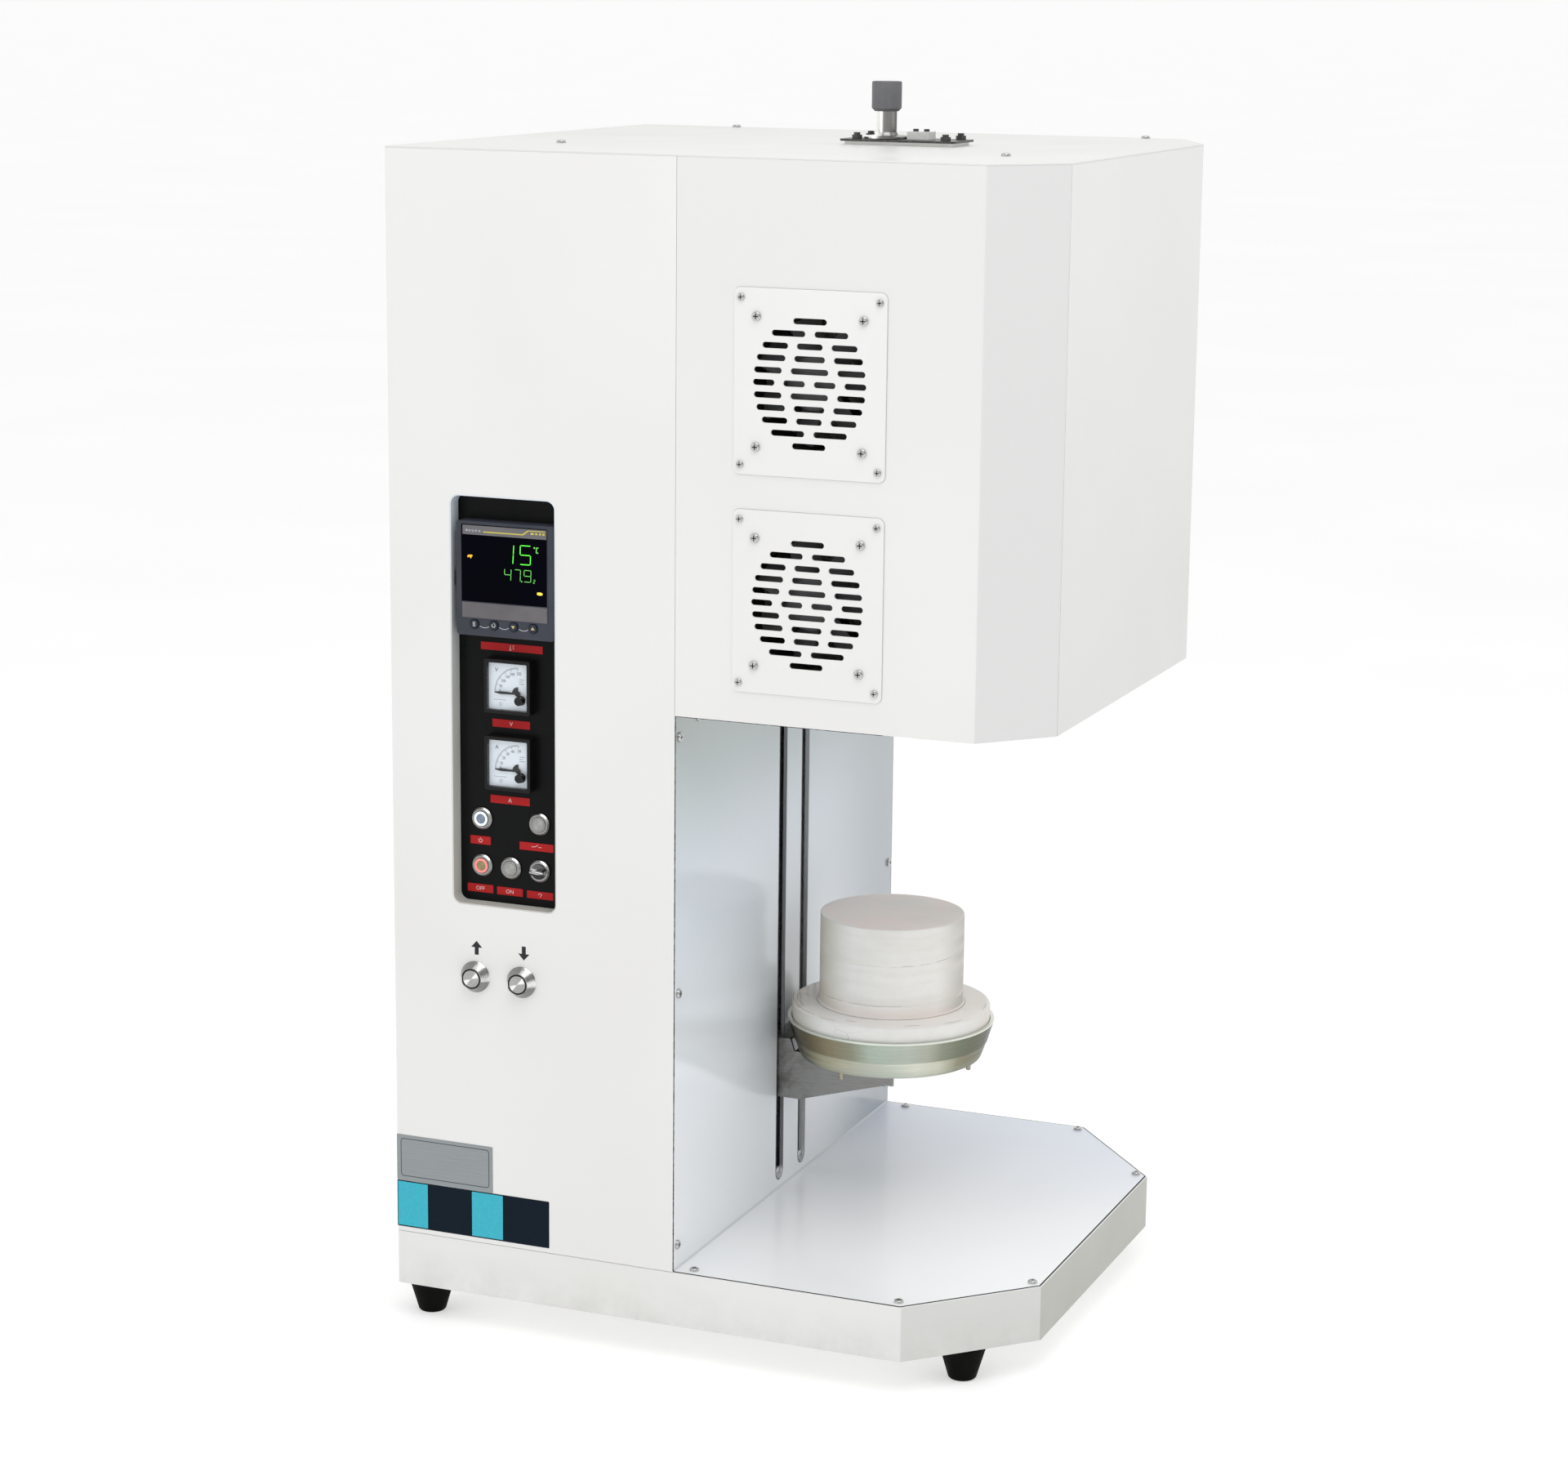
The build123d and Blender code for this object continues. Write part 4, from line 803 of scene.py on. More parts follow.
# status strip: small pale marks, a yellow rule that steps up at the right
TY0, TY1 = SY - 0.22, SY - 0.05
marks = []
for i, x in enumerate((78.2, 81.4, 84.4, 87.8, 91.0)):
    marks.append([(x, 721.4), (x + (1.6 if i % 2 else 2.2), 721.4), (x + (1.6 if i % 2 else 2.2), 723.4 - 0.4 * (i % 3)), (x, 723.2)])
bm = bmesh.new()
for pts in marks:
    poly_prism(bm, pts, TY0, TY1)
make("status_marks", bm, mat_pale_mark, "cabinet", slot="screen")
bm = bmesh.new()
for pts in ([(96.0, 721.2), (135.6, 721.2), (141.0, 725.2), (157.0, 725.2), (157.0, 725.9), (140.2, 725.9), (134.9, 722.2), (96.0, 722.2)],
            [(143.0, 722.3), (146.0, 722.3), (146.0, 724.0), (143.0, 724.0)], [(147.6, 722.3), (149.6, 722.3), (149.6, 724.0), (147.6, 724.0)],
            [(151.4, 722.3), (153.2, 722.3), (153.2, 724.0), (151.4, 724.0)], [(154.6, 722.3), (156.8, 722.3), (156.8, 724.0), (154.6, 724.0)]):
    poly_prism(bm, pts, TY0, TY1)
make("status_rule", bm, mat_rule, "cabinet", slot="screen")

# key marks and the line that joins the keys
KY = -2.4


def arc(cx, cz, r, a0, a1, n=10):
    return [(cx + r * math.cos(math.radians(a0 + (a1 - a0) * i / n)), cz + r * math.sin(math.radians(a0 + (a1 - a0) * i / n))) for i in range(n + 1)]


k1, k2, k3, k4 = KEYS_X
strokes("key_mark_1", [[(k1 - 1.3, KEYS_Z + 1.5), (k1 + 1.3, KEYS_Z + 1.5)], [(k1 - 1.3, KEYS_Z), (k1 + 1.3, KEYS_Z)], [(k1 - 1.3, KEYS_Z - 1.5), (k1 + 1.3, KEYS_Z - 1.5)]],
        0.7, KY - 0.08, KY + 0.1, mat_keymark, "controller_key_1", slot="key_plastic")
strokes("key_mark_2", [arc(k2, KEYS_Z, 1.6, -230, 60, 14), [(k2 + 0.1, KEYS_Z + 2.2), (k2 + 1.5, KEYS_Z + 1.1)]],
        0.6, KY - 0.08, KY + 0.1, mat_keymark, "controller_key_2", slot="key_plastic")
bm = bmesh.new(); poly_prism(bm, [(k3 - 1.9, KEYS_Z + 1.1), (k3, KEYS_Z - 1.8), (k3 + 1.9, KEYS_Z + 1.1)], KY - 0.08, KY + 0.1)
make("key_mark_3", bm, mat_keymark_y, "controller_key_3", slot="key_plastic")
bm = bmesh.new(); poly_prism(bm, [(k4 - 1.9, KEYS_Z - 1.2), (k4 + 1.9, KEYS_Z - 1.2), (k4, KEYS_Z + 1.7)], KY - 0.08, KY + 0.1)
make("key_mark_4", bm, mat_keymark_y, "controller_key_4", slot="key_plastic")
HY = -1.0
lines = []
for a, b in ((k1, k2), (k2, k3), (k3, k4)):
    lines.append([(a + 5.0, KEYS_Z - 1.6), ((a + b) / 2 - 1.6, KEYS_Z - 2.9), ((a + b) / 2 + 1.6, KEYS_Z - 2.9), (b - 5.0, KEYS_Z - 1.6)])
lines += [arc((k1 + k2) / 2, 633.0, 13.0, 118, 62, 12), arc((k3 + k4) / 2, 633.0, 13.0, 118, 62, 12)]
strokes("key_lines", lines[:3], 0.45, HY - 0.06, HY + 0.1, mat_keymark, "cabinet", slot="controller_plastic")
for i, x in enumerate(KEYS_X):
    ring_obj(f"key_ring_{i + 1}", x, KEYS_Z, 4.35, 5.1, HY - 0.25, HY + 0.2, mat_key, "cabinet", slot="controller_plastic", bevel=0.1)

# a thin shadow line round the screen and the moulded lip of the bezel
bm = bmesh.new()
frame_ring(bm, rrect(73.2, 160.1, 657.0 - 14.6, 728.9, 1.4), rrect(74.1, 159.3, 643.3, 728.0, 1.0), HY - 0.35, HY + 0.3)
make("controller_lip", bm, mat_ctl, "cabinet", slot="controller_plastic", bevel=0.15)
plate("controller_clip", rrect(65.0, 68.4, 671, 684, 0.8), 3.0, 9.0, mat_black, "cabinet", slot="black_plastic", bevel=0.4)

# ---------------------------------------------------------------------------
# meters: printed scale, frame and clear window
# ---------------------------------------------------------------------------
mat_ink = print_ink("dial_ink", (0.035, 0.04, 0.05), 0.5)
mat_ink_soft = print_ink("dial_ink_soft", (0.20, 0.23, 0.27), 0.5)
mat_window = glass_clear()
DY = 8.0
for tag, zc, unit, top in (("upper", MET_Z[0], "V", 250), ("lower", MET_Z[1], "A", 50)):
    px, pz = MET_X + 9.7, zc - 5.8
    R = 23.6
    ticks, items = [], []
    for i in range(26):
        a = math.radians(180 - 90 * i / 25 * 0.98 - 1)
        r0 = R - (2.3 if i % 5 == 0 else 1.2)
        ticks.append([(px + r0 * math.cos(a), pz + r0 * math.sin(a)), (px + R * math.cos(a), pz + R * math.sin(a))])
    strokes(f"dial_ticks_{tag}", [t for t in ticks], 0.40, DY - 0.08, DY + 0.05, mat_ink, "cabinet", slot="dial_card")
    strokes(f"dial_arc_{tag}", [arc(px, pz, R, 180, 92, 26)], 0.2, DY - 0.08, DY + 0.05, mat_ink_soft, "cabinet", slot="dial_card")
    for i in range(6):
        a = math.radians(180 - 88 * i / 5 - 1)
        rr_ = R - 5.2
        items.append((str(top * i // 5), px + rr_ * math.cos(a) + (1.2 if i == 5 else 0), pz + rr_ * math.sin(a) + (1.3 if i == 0 else 0), 2.7, 0.85))
    items.append((unit, MET_X - 12.0, zc + 14.7, 3.6, 1.0))
    lettering(f"dial_numbers_{tag}", items, mat_ink, "cabinet", DY - 0.08, DY + 0.05, slot="dial_card")
    # small rules at the lower left and at the right edge
    small = [[(MET_X - 15 + 2.6 * i, zc - 12.6), (MET_X - 13.2 + 2.6 * i, zc - 12.6)] for i in range(5)]
    small += [[(MET_X + 10.6, zc + 7.2 - 2.0 * i), (MET_X + 15.6 - (i % 2) * 1.5, zc + 7.2 - 2.0 * i)] for i in range(3)]
    strokes(f"dial_rules_{tag}", small, 0.45, DY - 0.08, DY + 0.05, mat_ink_soft, "cabinet", slot="dial_card")
    bm = bmesh.new()
    frame_ring(bm, circle(MET_X - 8.0, zc - 16.5, 1.5, 20), circle(MET_X - 8.0, zc - 16.5, 1.15, 20), DY - 0.08, DY + 0.05)
    make(f"dial_mark_{tag}", bm, mat_ink_soft, "cabinet", slot="dial_card")
    # clear window with a hole for the knob's shaft
    kx, kz = MET_X + 14.0, zc - 11.0
    n = 32
    outer, inner = [], []
    for i in range(n):
        a = 2 * math.pi * (i + 0.5) / n
        dx, dz = math.cos(a), math.sin(a)
        tx = ((MET_X + 19.85 - kx) / dx) if dx > 0 else ((MET_X - 19.85 - kx) / dx)
        tz = ((zc + 21.55 - kz) / dz) if dz > 0 else ((zc - 21.55 - kz) / dz)
        t = min(tx, tz)
        outer.append((kx + dx * t, kz + dz * t))
        inner.append((kx + dx * 3.15, kz + dz * 3.15))
    bm = bmesh.new()
    frame_ring(bm, outer, inner, 4.15, 5.05)
    make(f"meter_window_{tag}", bm, mat_window, "cabinet", slot="dial_card")
    # knob washer
    ring_obj(f"knob_collar_{tag}", kx, kz, 3.05, 4.7, 3.72, 4.14, mat_knob, "cabinet", slot="black_plastic", bevel=0.1)

# ---------------------------------------------------------------------------
# red label bars with simple marks
# ---------------------------------------------------------------------------
mat_red = print_ink("label_red", (0.47, 0.017, 0.019), 0.42, spec=0.12)
mat_label_ink = print_ink("label_ink", (0.78, 0.56, 0.55), 0.45)
FY = REC_D
labels = {"controller": (85.0, 147.0, 611.9, 619.0, 0.4), "upper_meter": (96.2, 134.0, 541.4, 548.8, 0.3), "lower_meter": (93.8, 133.4, 470.4, 477.8, 0.3),
          "power": (73.0, 93.6, 430.2, 438.0, 0.3), "open": (123.0, 157.2, 429.4, 436.8, 0.3), "stop": (69.8, 96.0, 385.0, 392.6, 0.3),
          "start": (99.8, 126.0, 384.8, 392.2, 0.3), "select": (130.2, 156.8, 384.6, 391.6, 0.3)}
for key, (x0, x1, z0, z1, _) in labels.items():
    plate(f"label_{key}", rrect(x0, x1, z0, z1, 0.5, 3), FY - 0.35, FY + 0.05, mat_red, "cabinet", slot="black_paint", bevel=0.12)
LY0, LY1 = FY - 0.43, FY - 0.30


def label_mid(key):
    x0, x1, z0, z1, _ = labels[key]
    return (x0 + x1) / 2, (z0 + z1) / 2


lx, lz = label_mid("stop")
items = [("OFF", lx, lz, 3.6, 1.0)]
lx, lz = label_mid("start")
items += [("ON", lx, lz, 3.6, 1.0)]
lx, lz = label_mid("upper_meter")
items += [("V", lx, lz, 3.8, 1.0)]
lx, lz = label_mid("lower_meter")
items += [("A", lx, lz, 3.8, 1.0)]
lettering("label_letters", items, mat_label_ink, "cabinet", LY0, LY1, slot="black_paint")
st = []
lx, lz = label_mid("power")
st += [arc(lx, lz - 0.2, 1.8, 125, 415, 16), [(lx, lz + 0.2), (lx, lz + 2.3)]]
lx, lz = label_mid("open")
st += [[(lx - 5.0, lz), (lx - 1.8, lz)], [(lx - 1.8, lz), (lx + 1.6, lz + 1.9)], [(lx + 2.0, lz), (lx + 5.0, lz)]]
lx, lz = label_mid("select")
st += [arc(lx, lz - 0.4, 2.0, 20, 160, 10), [(lx, lz - 1.6), (lx + 1.3, lz + 0.5)]]
lx, lz = label_mid("controller")
st += [[(lx - 1.2, lz + 2.2), (lx - 1.2, lz - 1.0)], arc(lx - 1.2, lz - 1.7, 0.8, 0, 350, 12), [(lx + 1.0, lz + 1.8), (lx + 2.6, lz + 1.8)], [(lx + 1.0, lz + 0.4), (lx + 2.0, lz + 0.4)],
       [(lx + 1.0, lz - 1.0), (lx + 2.6, lz - 1.0)]]
strokes("label_marks", st, 0.5, LY0, LY1, mat_label_ink, "cabinet", slot="black_paint")

# ---------------------------------------------------------------------------
# rings of the push buttons
# ---------------------------------------------------------------------------
mat_ring_white = lit("ring_white", (0.88, 0.94, 1.0), 0.75, (0.6, 0.66, 0.7))
mat_ring_red = lit("ring_red", (1.0, 0.24, 0.23), 0.72, (0.55, 0.16, 0.15))
mat_ring_grey = plastic("ring_grey", (0.22, 0.22, 0.215), 0.35)
mat_ring_dark = plastic("ring_dark", (0.014, 0.014, 0.015), 0.45, spec=0.25)
for n, m in (("power", mat_ring_white), ("stop", mat_ring_red)):
    x, z = SW[n]
    ring_obj(f"{n}_light_ring", x, z, 4.7, 6.7, REC_D - 4.25, REC_D - 3.7, m, f"{n}_button_cap", slot="button_steel")
for n in ("open", "start"):
    x, z = SW[n]
    ring_obj(f"{n}_groove_ring", x, z, 5.3, 5.9, REC_D - 4.0, REC_D - 3.7, mat_ring_grey, f"{n}_button_cap", slot="button_steel", bevel=0.08)
for n in ("up", "down"):
    x, z = PLAT[n]
    ring_obj(f"platform_{n}_seal", x, z, 8.45, 9.5, -9.0, -5.5, mat_ring_dark, "cabinet", slot="black_plastic", bevel=0.15)

# arrows over the platform buttons
mat_mark_black = print_ink("panel_ink", (0.02, 0.02, 0.025), 0.45)
for n, s in (("up", 1), ("down", -1)):
    x, z = PLAT[n][0] + (1.5 if n == "up" else 2.5), 336.0
    pts = [(x - 2.0, z - 6.5 * s), (x + 2.0, z - 6.5 * s), (x + 2.0, z + 0.5 * s), (x + 5.6, z + 0.5 * s), (x, z + 6.6 * s), (x - 5.6, z + 0.5 * s), (x - 2.0, z + 0.5 * s)]
    if s < 0:
        pts = pts[::-1]
    plate(f"arrow_{n}", pts, -0.10, 0.03, mat_mark_black, "cabinet", slot="cabinet_paint")


# ---------------------------------------------------------------------------
# adhesive plates low on the column
# ---------------------------------------------------------------------------
def foil():
    m = Mat("plate_silver", (0.29, 0.315, 0.325), 0.36, metal=0.3)
    g = m.noise(1.0, 3.0, 0.6, vec=m.coords(scale=(30, 30, 1600)))
    m.color(m.mix(m.map(g, 0.3, 0.7), (0.27, 0.295, 0.305), (0.31, 0.335, 0.347)))
    m.rough(m.map(g, 0.3, 0.7, 0.28, 0.42))
    m.bump(g, 0.05, 0.0002)
    return m.mat


mat_foil = foil()
mat_navy = print_ink("plate_navy", (0.005, 0.012, 0.022), 0.36, coat=0.0, spec=0.07)
mat_cyan = print_ink("plate_cyan", (0.052, 0.50, 0.63), 0.36, coat=0.0, spec=0.2)
mat_plate_line = print_ink("plate_line", (0.055, 0.075, 0.085), 0.4)
plate("plate_silver", rrect(0.9, 101.0, 101.9, 146.6, 0.8, 3), -0.30, 0.03, mat_foil, "cabinet", slot="cabinet_paint", bevel=0.12)
bm = bmesh.new()
frame_ring(bm, rrect(5.0, 97.4, 106.2, 143.2, 3.2, 6), rrect(5.7, 96.7, 106.9, 142.5, 2.6, 6), -0.36, -0.25)
make("plate_silver_line", bm, mat_plate_line, "cabinet", slot="cabinet_paint")
plate("plate_navy", rrect(0.9, 158.8, 56.4, 101.6, 0.8, 3), -0.30, 0.03, mat_navy, "cabinet", slot="cabinet_paint", bevel=0.12)
plate("plate_cyan_left", rrect(1.8, 33.0, 57.6, 100.6, 0.4, 3), -0.42, -0.25, mat_cyan, "cabinet", slot="cabinet_paint", bevel=0.06)
plate("plate_cyan_right", rrect(79.2, 111.2, 57.6, 100.6, 0.4, 3), -0.42, -0.25, mat_cyan, "cabinet", slot="cabinet_paint", bevel=0.06)


# ---------------------------------------------------------------------------
# hearth and insulation board as weathered fibre blocks
# ---------------------------------------------------------------------------
def lathe(name, profile, seg, mat, body, node, shape=None, slot=None):
    """profile: (r, z) from the centre of the underside out and up to the centre of the top."""
    bm = bmesh.new()
    loops = []
    for r, z in profile:
        if r < 1e-6:
            p = shape(0.0, 0.0, z) if shape else (0.0, z)
            loops.append([bm.verts.new(L(CX, CY, p[1]))])
            continue
        row = []
        for i in range(seg):
            a = 2 * math.pi * i / seg
            rr_, zz = shape(r, a, z) if shape else (r, z)
            row.append(bm.verts.new(L(CX + rr_ * math.cos(a), CY + rr_ * math.sin(a), zz)))
        loops.append(row)
    for p, q in zip(loops[:-1], loops[1:]):
        for i in range(seg):
            j = (i + 1) % seg
            if len(p) == 1:
                bm.faces.new((p[0], q[j], q[i]))
            elif len(q) == 1:
                bm.faces.new((p[i], p[j], q[0]))
            else:
                bm.faces.new((p[i], p[j], q[j], q[i]))
    bmesh.ops.recalc_face_normals(bm, faces=bm.faces[:])
    o = make(name, bm, mat, body, smooth=True, slot=slot)
    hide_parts(node)
    return o


def nz(x, y, z, s, seed=0.0):
    return noise.noise(Vector((x * s + seed, y * s - seed, z * s + 2 * seed)))


def hearth_shape(r, a, z):
    x, y = r * math.cos(a), r * math.sin(a)
    rr_, zz = r, z
    if r > 60:
        rr_ -= 0.10 + 0.10 * nz(x, y, z, 0.05) + 0.06 * nz(x, y, z, 0.4, 3)
        # seams of the three discs, deeper in places
        for zs, k, s in ((299.0, 0.55, 5.0), (261.0, 0.7, 9.0)):
            w = 0.5 + 0.25 * nz(math.cos(a) * 3, math.sin(a) * 3, 0, 1.0, s)
            depth = k * max(0.0, 0.5 + 1.5 * nz(math.cos(a) * 1.4, math.sin(a) * 1.4, 0, 1.0, s + 1))
            rr_ -= depth * math.exp(-((z - zs) / w) ** 2)
    if z > 334.5:
        zz -= 0.12 + 0.12 * nz(x, y, 0, 0.06, 4)
    return rr_, zz


hp = [(0, 247.6), (30, 247.6), (66.6, 247.6), (71.6, 247.62), (70.6, 248.1), (69.8, 248.9)]
zl = [250, 252.5, 255, 257.5, 259.2, 260.0, 260.4, 260.7, 261.0, 261.3, 261.6, 262.0, 262.8, 265, 269, 273, 278, 283, 288, 292, 295.5, 297.4, 298.1, 298.5,
      298.8, 299.0, 299.2, 299.5, 299.9, 300.6, 302.5, 306, 311, 316, 321, 326, 329.5, 332.4]
hp += [(69.2, z) for z in zl]
hp += [(69.1, 333.7), (68.7, 334.3), (68.0, 334.65), (66.6, 334.75), (62, 334.75), (55, 334.75), (47, 334.75), (38, 334.75), (28, 334.75), (18, 334.75), (8, 334.75), (0, 334.75)]
mat_hearth = ceramic("hearth_fibre", (0.965, 0.955, 0.92), (1.0, 0.895, 0.85), 247.5, 334.8, low=15.0, top=1.0, edge=0.35, layers=0.5,
                     seams=((300.0, 0.0035, -38, 40, 3.0), (259.5, 0.0005, -98, 58, 7.0)),
                     shade=((-172, 72, 1.0, (0.70, 0.655, 0.54)), (32, 66, 1.0, (0.54, 0.52, 0.48))))
lathe("hearth_block", hp, 300, mat_hearth, "lift", "hearth", hearth_shape, slot="hearth_ceramic")


def board_shape(r, a, z):
    x, y = r * math.cos(a), r * math.sin(a)
    rr_, zz = r, z
    if z > 246.4:
        zz -= 0.18 + 0.18 * nz(x, y, 0, 0.05, 1) + 0.10 * nz(x, y, 0, 0.25, 6)
        # broken layers at the left and back edge
        d = math.degrees(a) % 360
        if 118 < d < 222 and r > 69.5:
            w = min(1.0, (d - 118) / 14, (222 - d) / 14)
            v = (x * math.cos(math.radians(203)) + y * math.sin(math.radians(203))) + 2.2 * nz(x, y, 0, 0.06, 9)
            step = 0.0
            for lim, drop in ((66.0, 0.7), (72.5, 1.2), (79.5, 1.5), (86.5, 1.9)):
                t = max(0.0, min(1.0, (v + 1.6 * nz(x, y, 0, 0.22, lim) - lim) / 0.5))
                step += drop * t
            zz -= step * w
    if 232.5 < z < 247.0 and r > 90:
        rr_ -= 0.15 + 0.35 * max(0.0, nz(x * 1.0, y * 1.0, z * 2.0, 0.12, 2)) + 0.12 * nz(x, y, z, 0.5, 8)
        d = math.degrees(a) % 360
        if 128 < d < 216:
            rr_ -= 0.8 * max(0.0, nz(x, y, z * 6, 0.10, 12)) * min(1.0, (d - 128) / 10, (216 - d) / 10)
    return rr_, zz


bpf = [(0, 199.2), (40, 199.2), (82.0, 199.2), (83.0, 199.5), (89.2, 213.1), (92.4, 222.9), (95.2, 231.6), (95.4, 232.6)]
bpf += [(95.45, z) for z in (234, 235.5, 237, 238.5, 240, 241.5, 243, 244.2)]
bpf += [(95.3, 245.2), (94.6, 246.1), (93.5, 246.9), (92.2, 247.4)]
bpf += [(r, 247.5) for r in np.arange(91.2, 69.8, -1.07)]
bpf += [(66.0, 247.5), (50.0, 247.45), (20.0, 247.45), (0, 247.45)]
mat_board = ceramic("board_fibre", (0.945, 0.935, 0.905), (0.99, 0.935, 0.895), 247.5, 247.5, low=0.0, top=0.9, edge=0.9,
                    shade=((-158, 48, 1.0, (0.68, 0.64, 0.56)), (22, 50, 0.9, (0.80, 0.77, 0.70))))
lathe("fibre_board", bpf, 420, mat_board, "lift", "insulation_board", board_shape, slot="fibre_board")

# ---------------------------------------------------------------------------
# lift slot linings, seams and their dark beads
# ---------------------------------------------------------------------------
def lining_mat(name, upper, z0, z1):
    """Pale moulded lining, darker above a height as painted shade inside the slot, its outer lip painted dark as a
    shadow line.
    """
    m = Mat(name, (0.82, 0.84, 0.86), 0.45, spec=0.3)
    g = m.node("ShaderNodeNewGeometry")
    n = m.node("ShaderNodeSeparateXYZ")
    m.put(n.inputs[0], g.outputs["Normal"])
    col = m.mix(m.map(m.noise(60, 3.0, 0.6), 0.3, 0.7), (0.80, 0.82, 0.84), (0.92, 0.94, 0.96))
    # painted shade: the darker colour above z1 inside the slot
    col = m.mix(m.map(m.xyz()[2], z0, z1), col, upper)
    # painted shadow line on the outer lip
    lip = m.math("MULTIPLY", m.map(n.outputs[0], 0.5, 0.8), m.map(m.xyz()[0], (280.9 + OX) / 1000, (281.2 + OX) / 1000))
    m.color(m.mix(lip, col, (0.03, 0.033, 0.037)))
    m.rough(m.map(m.noise(90, 3.0, 0.6), 0.3, 0.7, 0.35, 0.55))
    m.bump(m.noise(700, 2.0, 0.5), 0.08, 0.0002)
    return m.mat


def stadium(yc, z0, z1, r, k=14):
    pts = []
    for zc, a0 in ((z1 - 9.5, 0), (z0 + 9.5, 180)):
        for i in range(k + 1):
            a = math.radians(a0 + 180 * i / k)
            pts.append((yc + r * math.cos(a), zc + r * math.sin(a)))
    return pts


def side_ring(bm, outer, inner, x0, x1):
    """Closed ring between two loops of (y, z), from x0 to x1."""
    n = len(outer)
    loops = [[bm.verts.new(L(x, y, z)) for y, z in pts] for pts, x in ((outer, x0), (inner, x0), (inner, x1), (outer, x1))]
    for k in range(4):
        p_, q_ = loops[k], loops[(k + 1) % 4]
        for i in range(n):
            j = (i + 1) % n
            bm.faces.new((p_[i], p_[j], q_[j], q_[i]))


def block(bm, x0, x1, y0, y1, z0, z1):
    v = [bm.verts.new(L(x, y, z)) for z in (z0, z1) for x, y in ((x0, y0), (x1, y0), (x1, y1), (x0, y1))]
    for f in ((3, 2, 1, 0), (4, 5, 6, 7), (0, 1, 5, 4), (1, 2, 6, 5), (2, 3, 7, 6), (3, 0, 4, 7)):
        bm.faces.new([v[i] for i in f])


# upper: the darker colour above the bracket, painted shade inside each slot
for tag, yc, upper in (("front", 257.5, (0.30, 0.315, 0.335)), ("rear", 314.5, (0.50, 0.525, 0.56))):
    mat_slotline = lining_mat(f"slot_lining_{tag}", upper, *((0.100, 0.106) if tag == "front" else (0.15, 0.24)))
    bm = bmesh.new()
    side_ring(bm, stadium(yc, 60, 556, 9.35), stadium(yc, 60, 556, 8.2), 280.6, 283.2)
    block(bm, 279.4 if tag == "rear" else 280.0, 280.7, yc + 8.25, yc + 9.35, 69.0, 547.0)
    if tag == "rear":
        block(bm, 277.4, 279.5, yc + 8.25, yc + 9.35, 69.0, 150.0)
    block(bm, 277.4, 280.2, yc - 8.6, yc + 8.2, 57.6, 70.6)
    bmesh.ops.recalc_face_normals(bm, faces=bm.faces[:])
    make(f"slot_lining_{tag}", bm, mat_slotline, "cabinet", slot="bay_paint")

mat_bead = plastic("seam_bead", (0.022, 0.024, 0.024), 0.7, grain=900, amount=0.5, spec=0.15, dust=0.12)


def inset_pts(pts, d):
    n = len(pts)
    lines = []
    for i in range(n):
        (x0, y0), (x1, y1) = pts[i], pts[(i + 1) % n]
        le = math.hypot(x1 - x0, y1 - y0)
        lines.append((x0 - (y1 - y0) / le * d, y0 + (x1 - x0) / le * d, x1 - x0, y1 - y0))
    out = []
    for i in range(n):
        xa, ya, dxa, dya = lines[i - 1]
        xb, yb, dxb, dyb = lines[i]
        det = dxa * dyb - dya * dxb
        t = ((xb - xa) * dyb - (yb - ya) * dxb) / det
        out.append((xa + dxa * t, ya + dya * t))
    return out


BASE_PTS = [(0, 0), (505, 0), (604, 102), (604, 436), (500, 560), (0, 560)]
po, pi_ = inset_pts(BASE_PTS, 1.62), inset_pts(BASE_PTS, 2.62)
bm = bmesh.new()
# the gap round the base plate, from the column's front corner round to its rear one
seq = [((283.6, po[0][1]), (283.6, pi_[0][1]))] + [(po[i], pi_[i]) for i in (1, 2, 3, 4)] + [((283.6, po[5][1]), (283.6, pi_[5][1]))]
for (oa, ia), (ob, ib) in zip(seq[:-1], seq[1:]):
    v = [bm.verts.new(L(x, y, z)) for z in (50.05, 51.9) for x, y in (oa, ob, ib, ia)]
    for f in ((3, 2, 1, 0), (4, 5, 6, 7), (0, 1, 5, 4), (1, 2, 6, 5), (2, 3, 7, 6), (3, 0, 4, 7)):
        bm.faces.new([v[i] for i in f])
bmesh.ops.recalc_face_normals(bm, faces=bm.faces[:])
make("base_plate_seal", bm, mat_bead, "cabinet", slot="black_plastic")
# ragged bead where the column's front panel meets the inner wall, and along its top; under the head's front edge a dark
# strip as a painted shadow line
bm = bmesh.new()
for i in range(259):
    z = 52.6 + i * 2.0
    w = 1.35 + 0.75 * noise.noise(Vector((0.3, 0.7, z * 0.35)))
    block(bm, 282.4, 283.22 + 0.10 * noise.noise(Vector((z * 0.2, 2.0, 0.1))), 2.1 - w * 0.55, 2.1 + w * 0.55, z, z + 2.0)
make("wall_front_bead", bm, mat_bead, "cabinet", slot="black_plastic")
bm = bmesh.new()
for i in range(184):
    y = 3.0 + i * 3.0
    w = 0.75 + 0.45 * noise.noise(Vector((y * 0.25, 4.0, 0.6)))
    block(bm, 283.02, 283.5, y, y + 3.0, 569.7 - w, 569.9)
# painted shadow line: a dark strip under the head front panel's lower edge
for i in range(56):
    x = 283.6 + i * 3.5
    w = 0.62 + 0.22 * noise.noise(Vector((x * 0.21, 1.0, 0.4)))
    block(bm, x, x + 3.5, 0.35, 0.95, 570.02 - w, 570.02)
make("wall_top_bead_shadow_line", bm, mat_bead, "cabinet", slot="black_plastic")

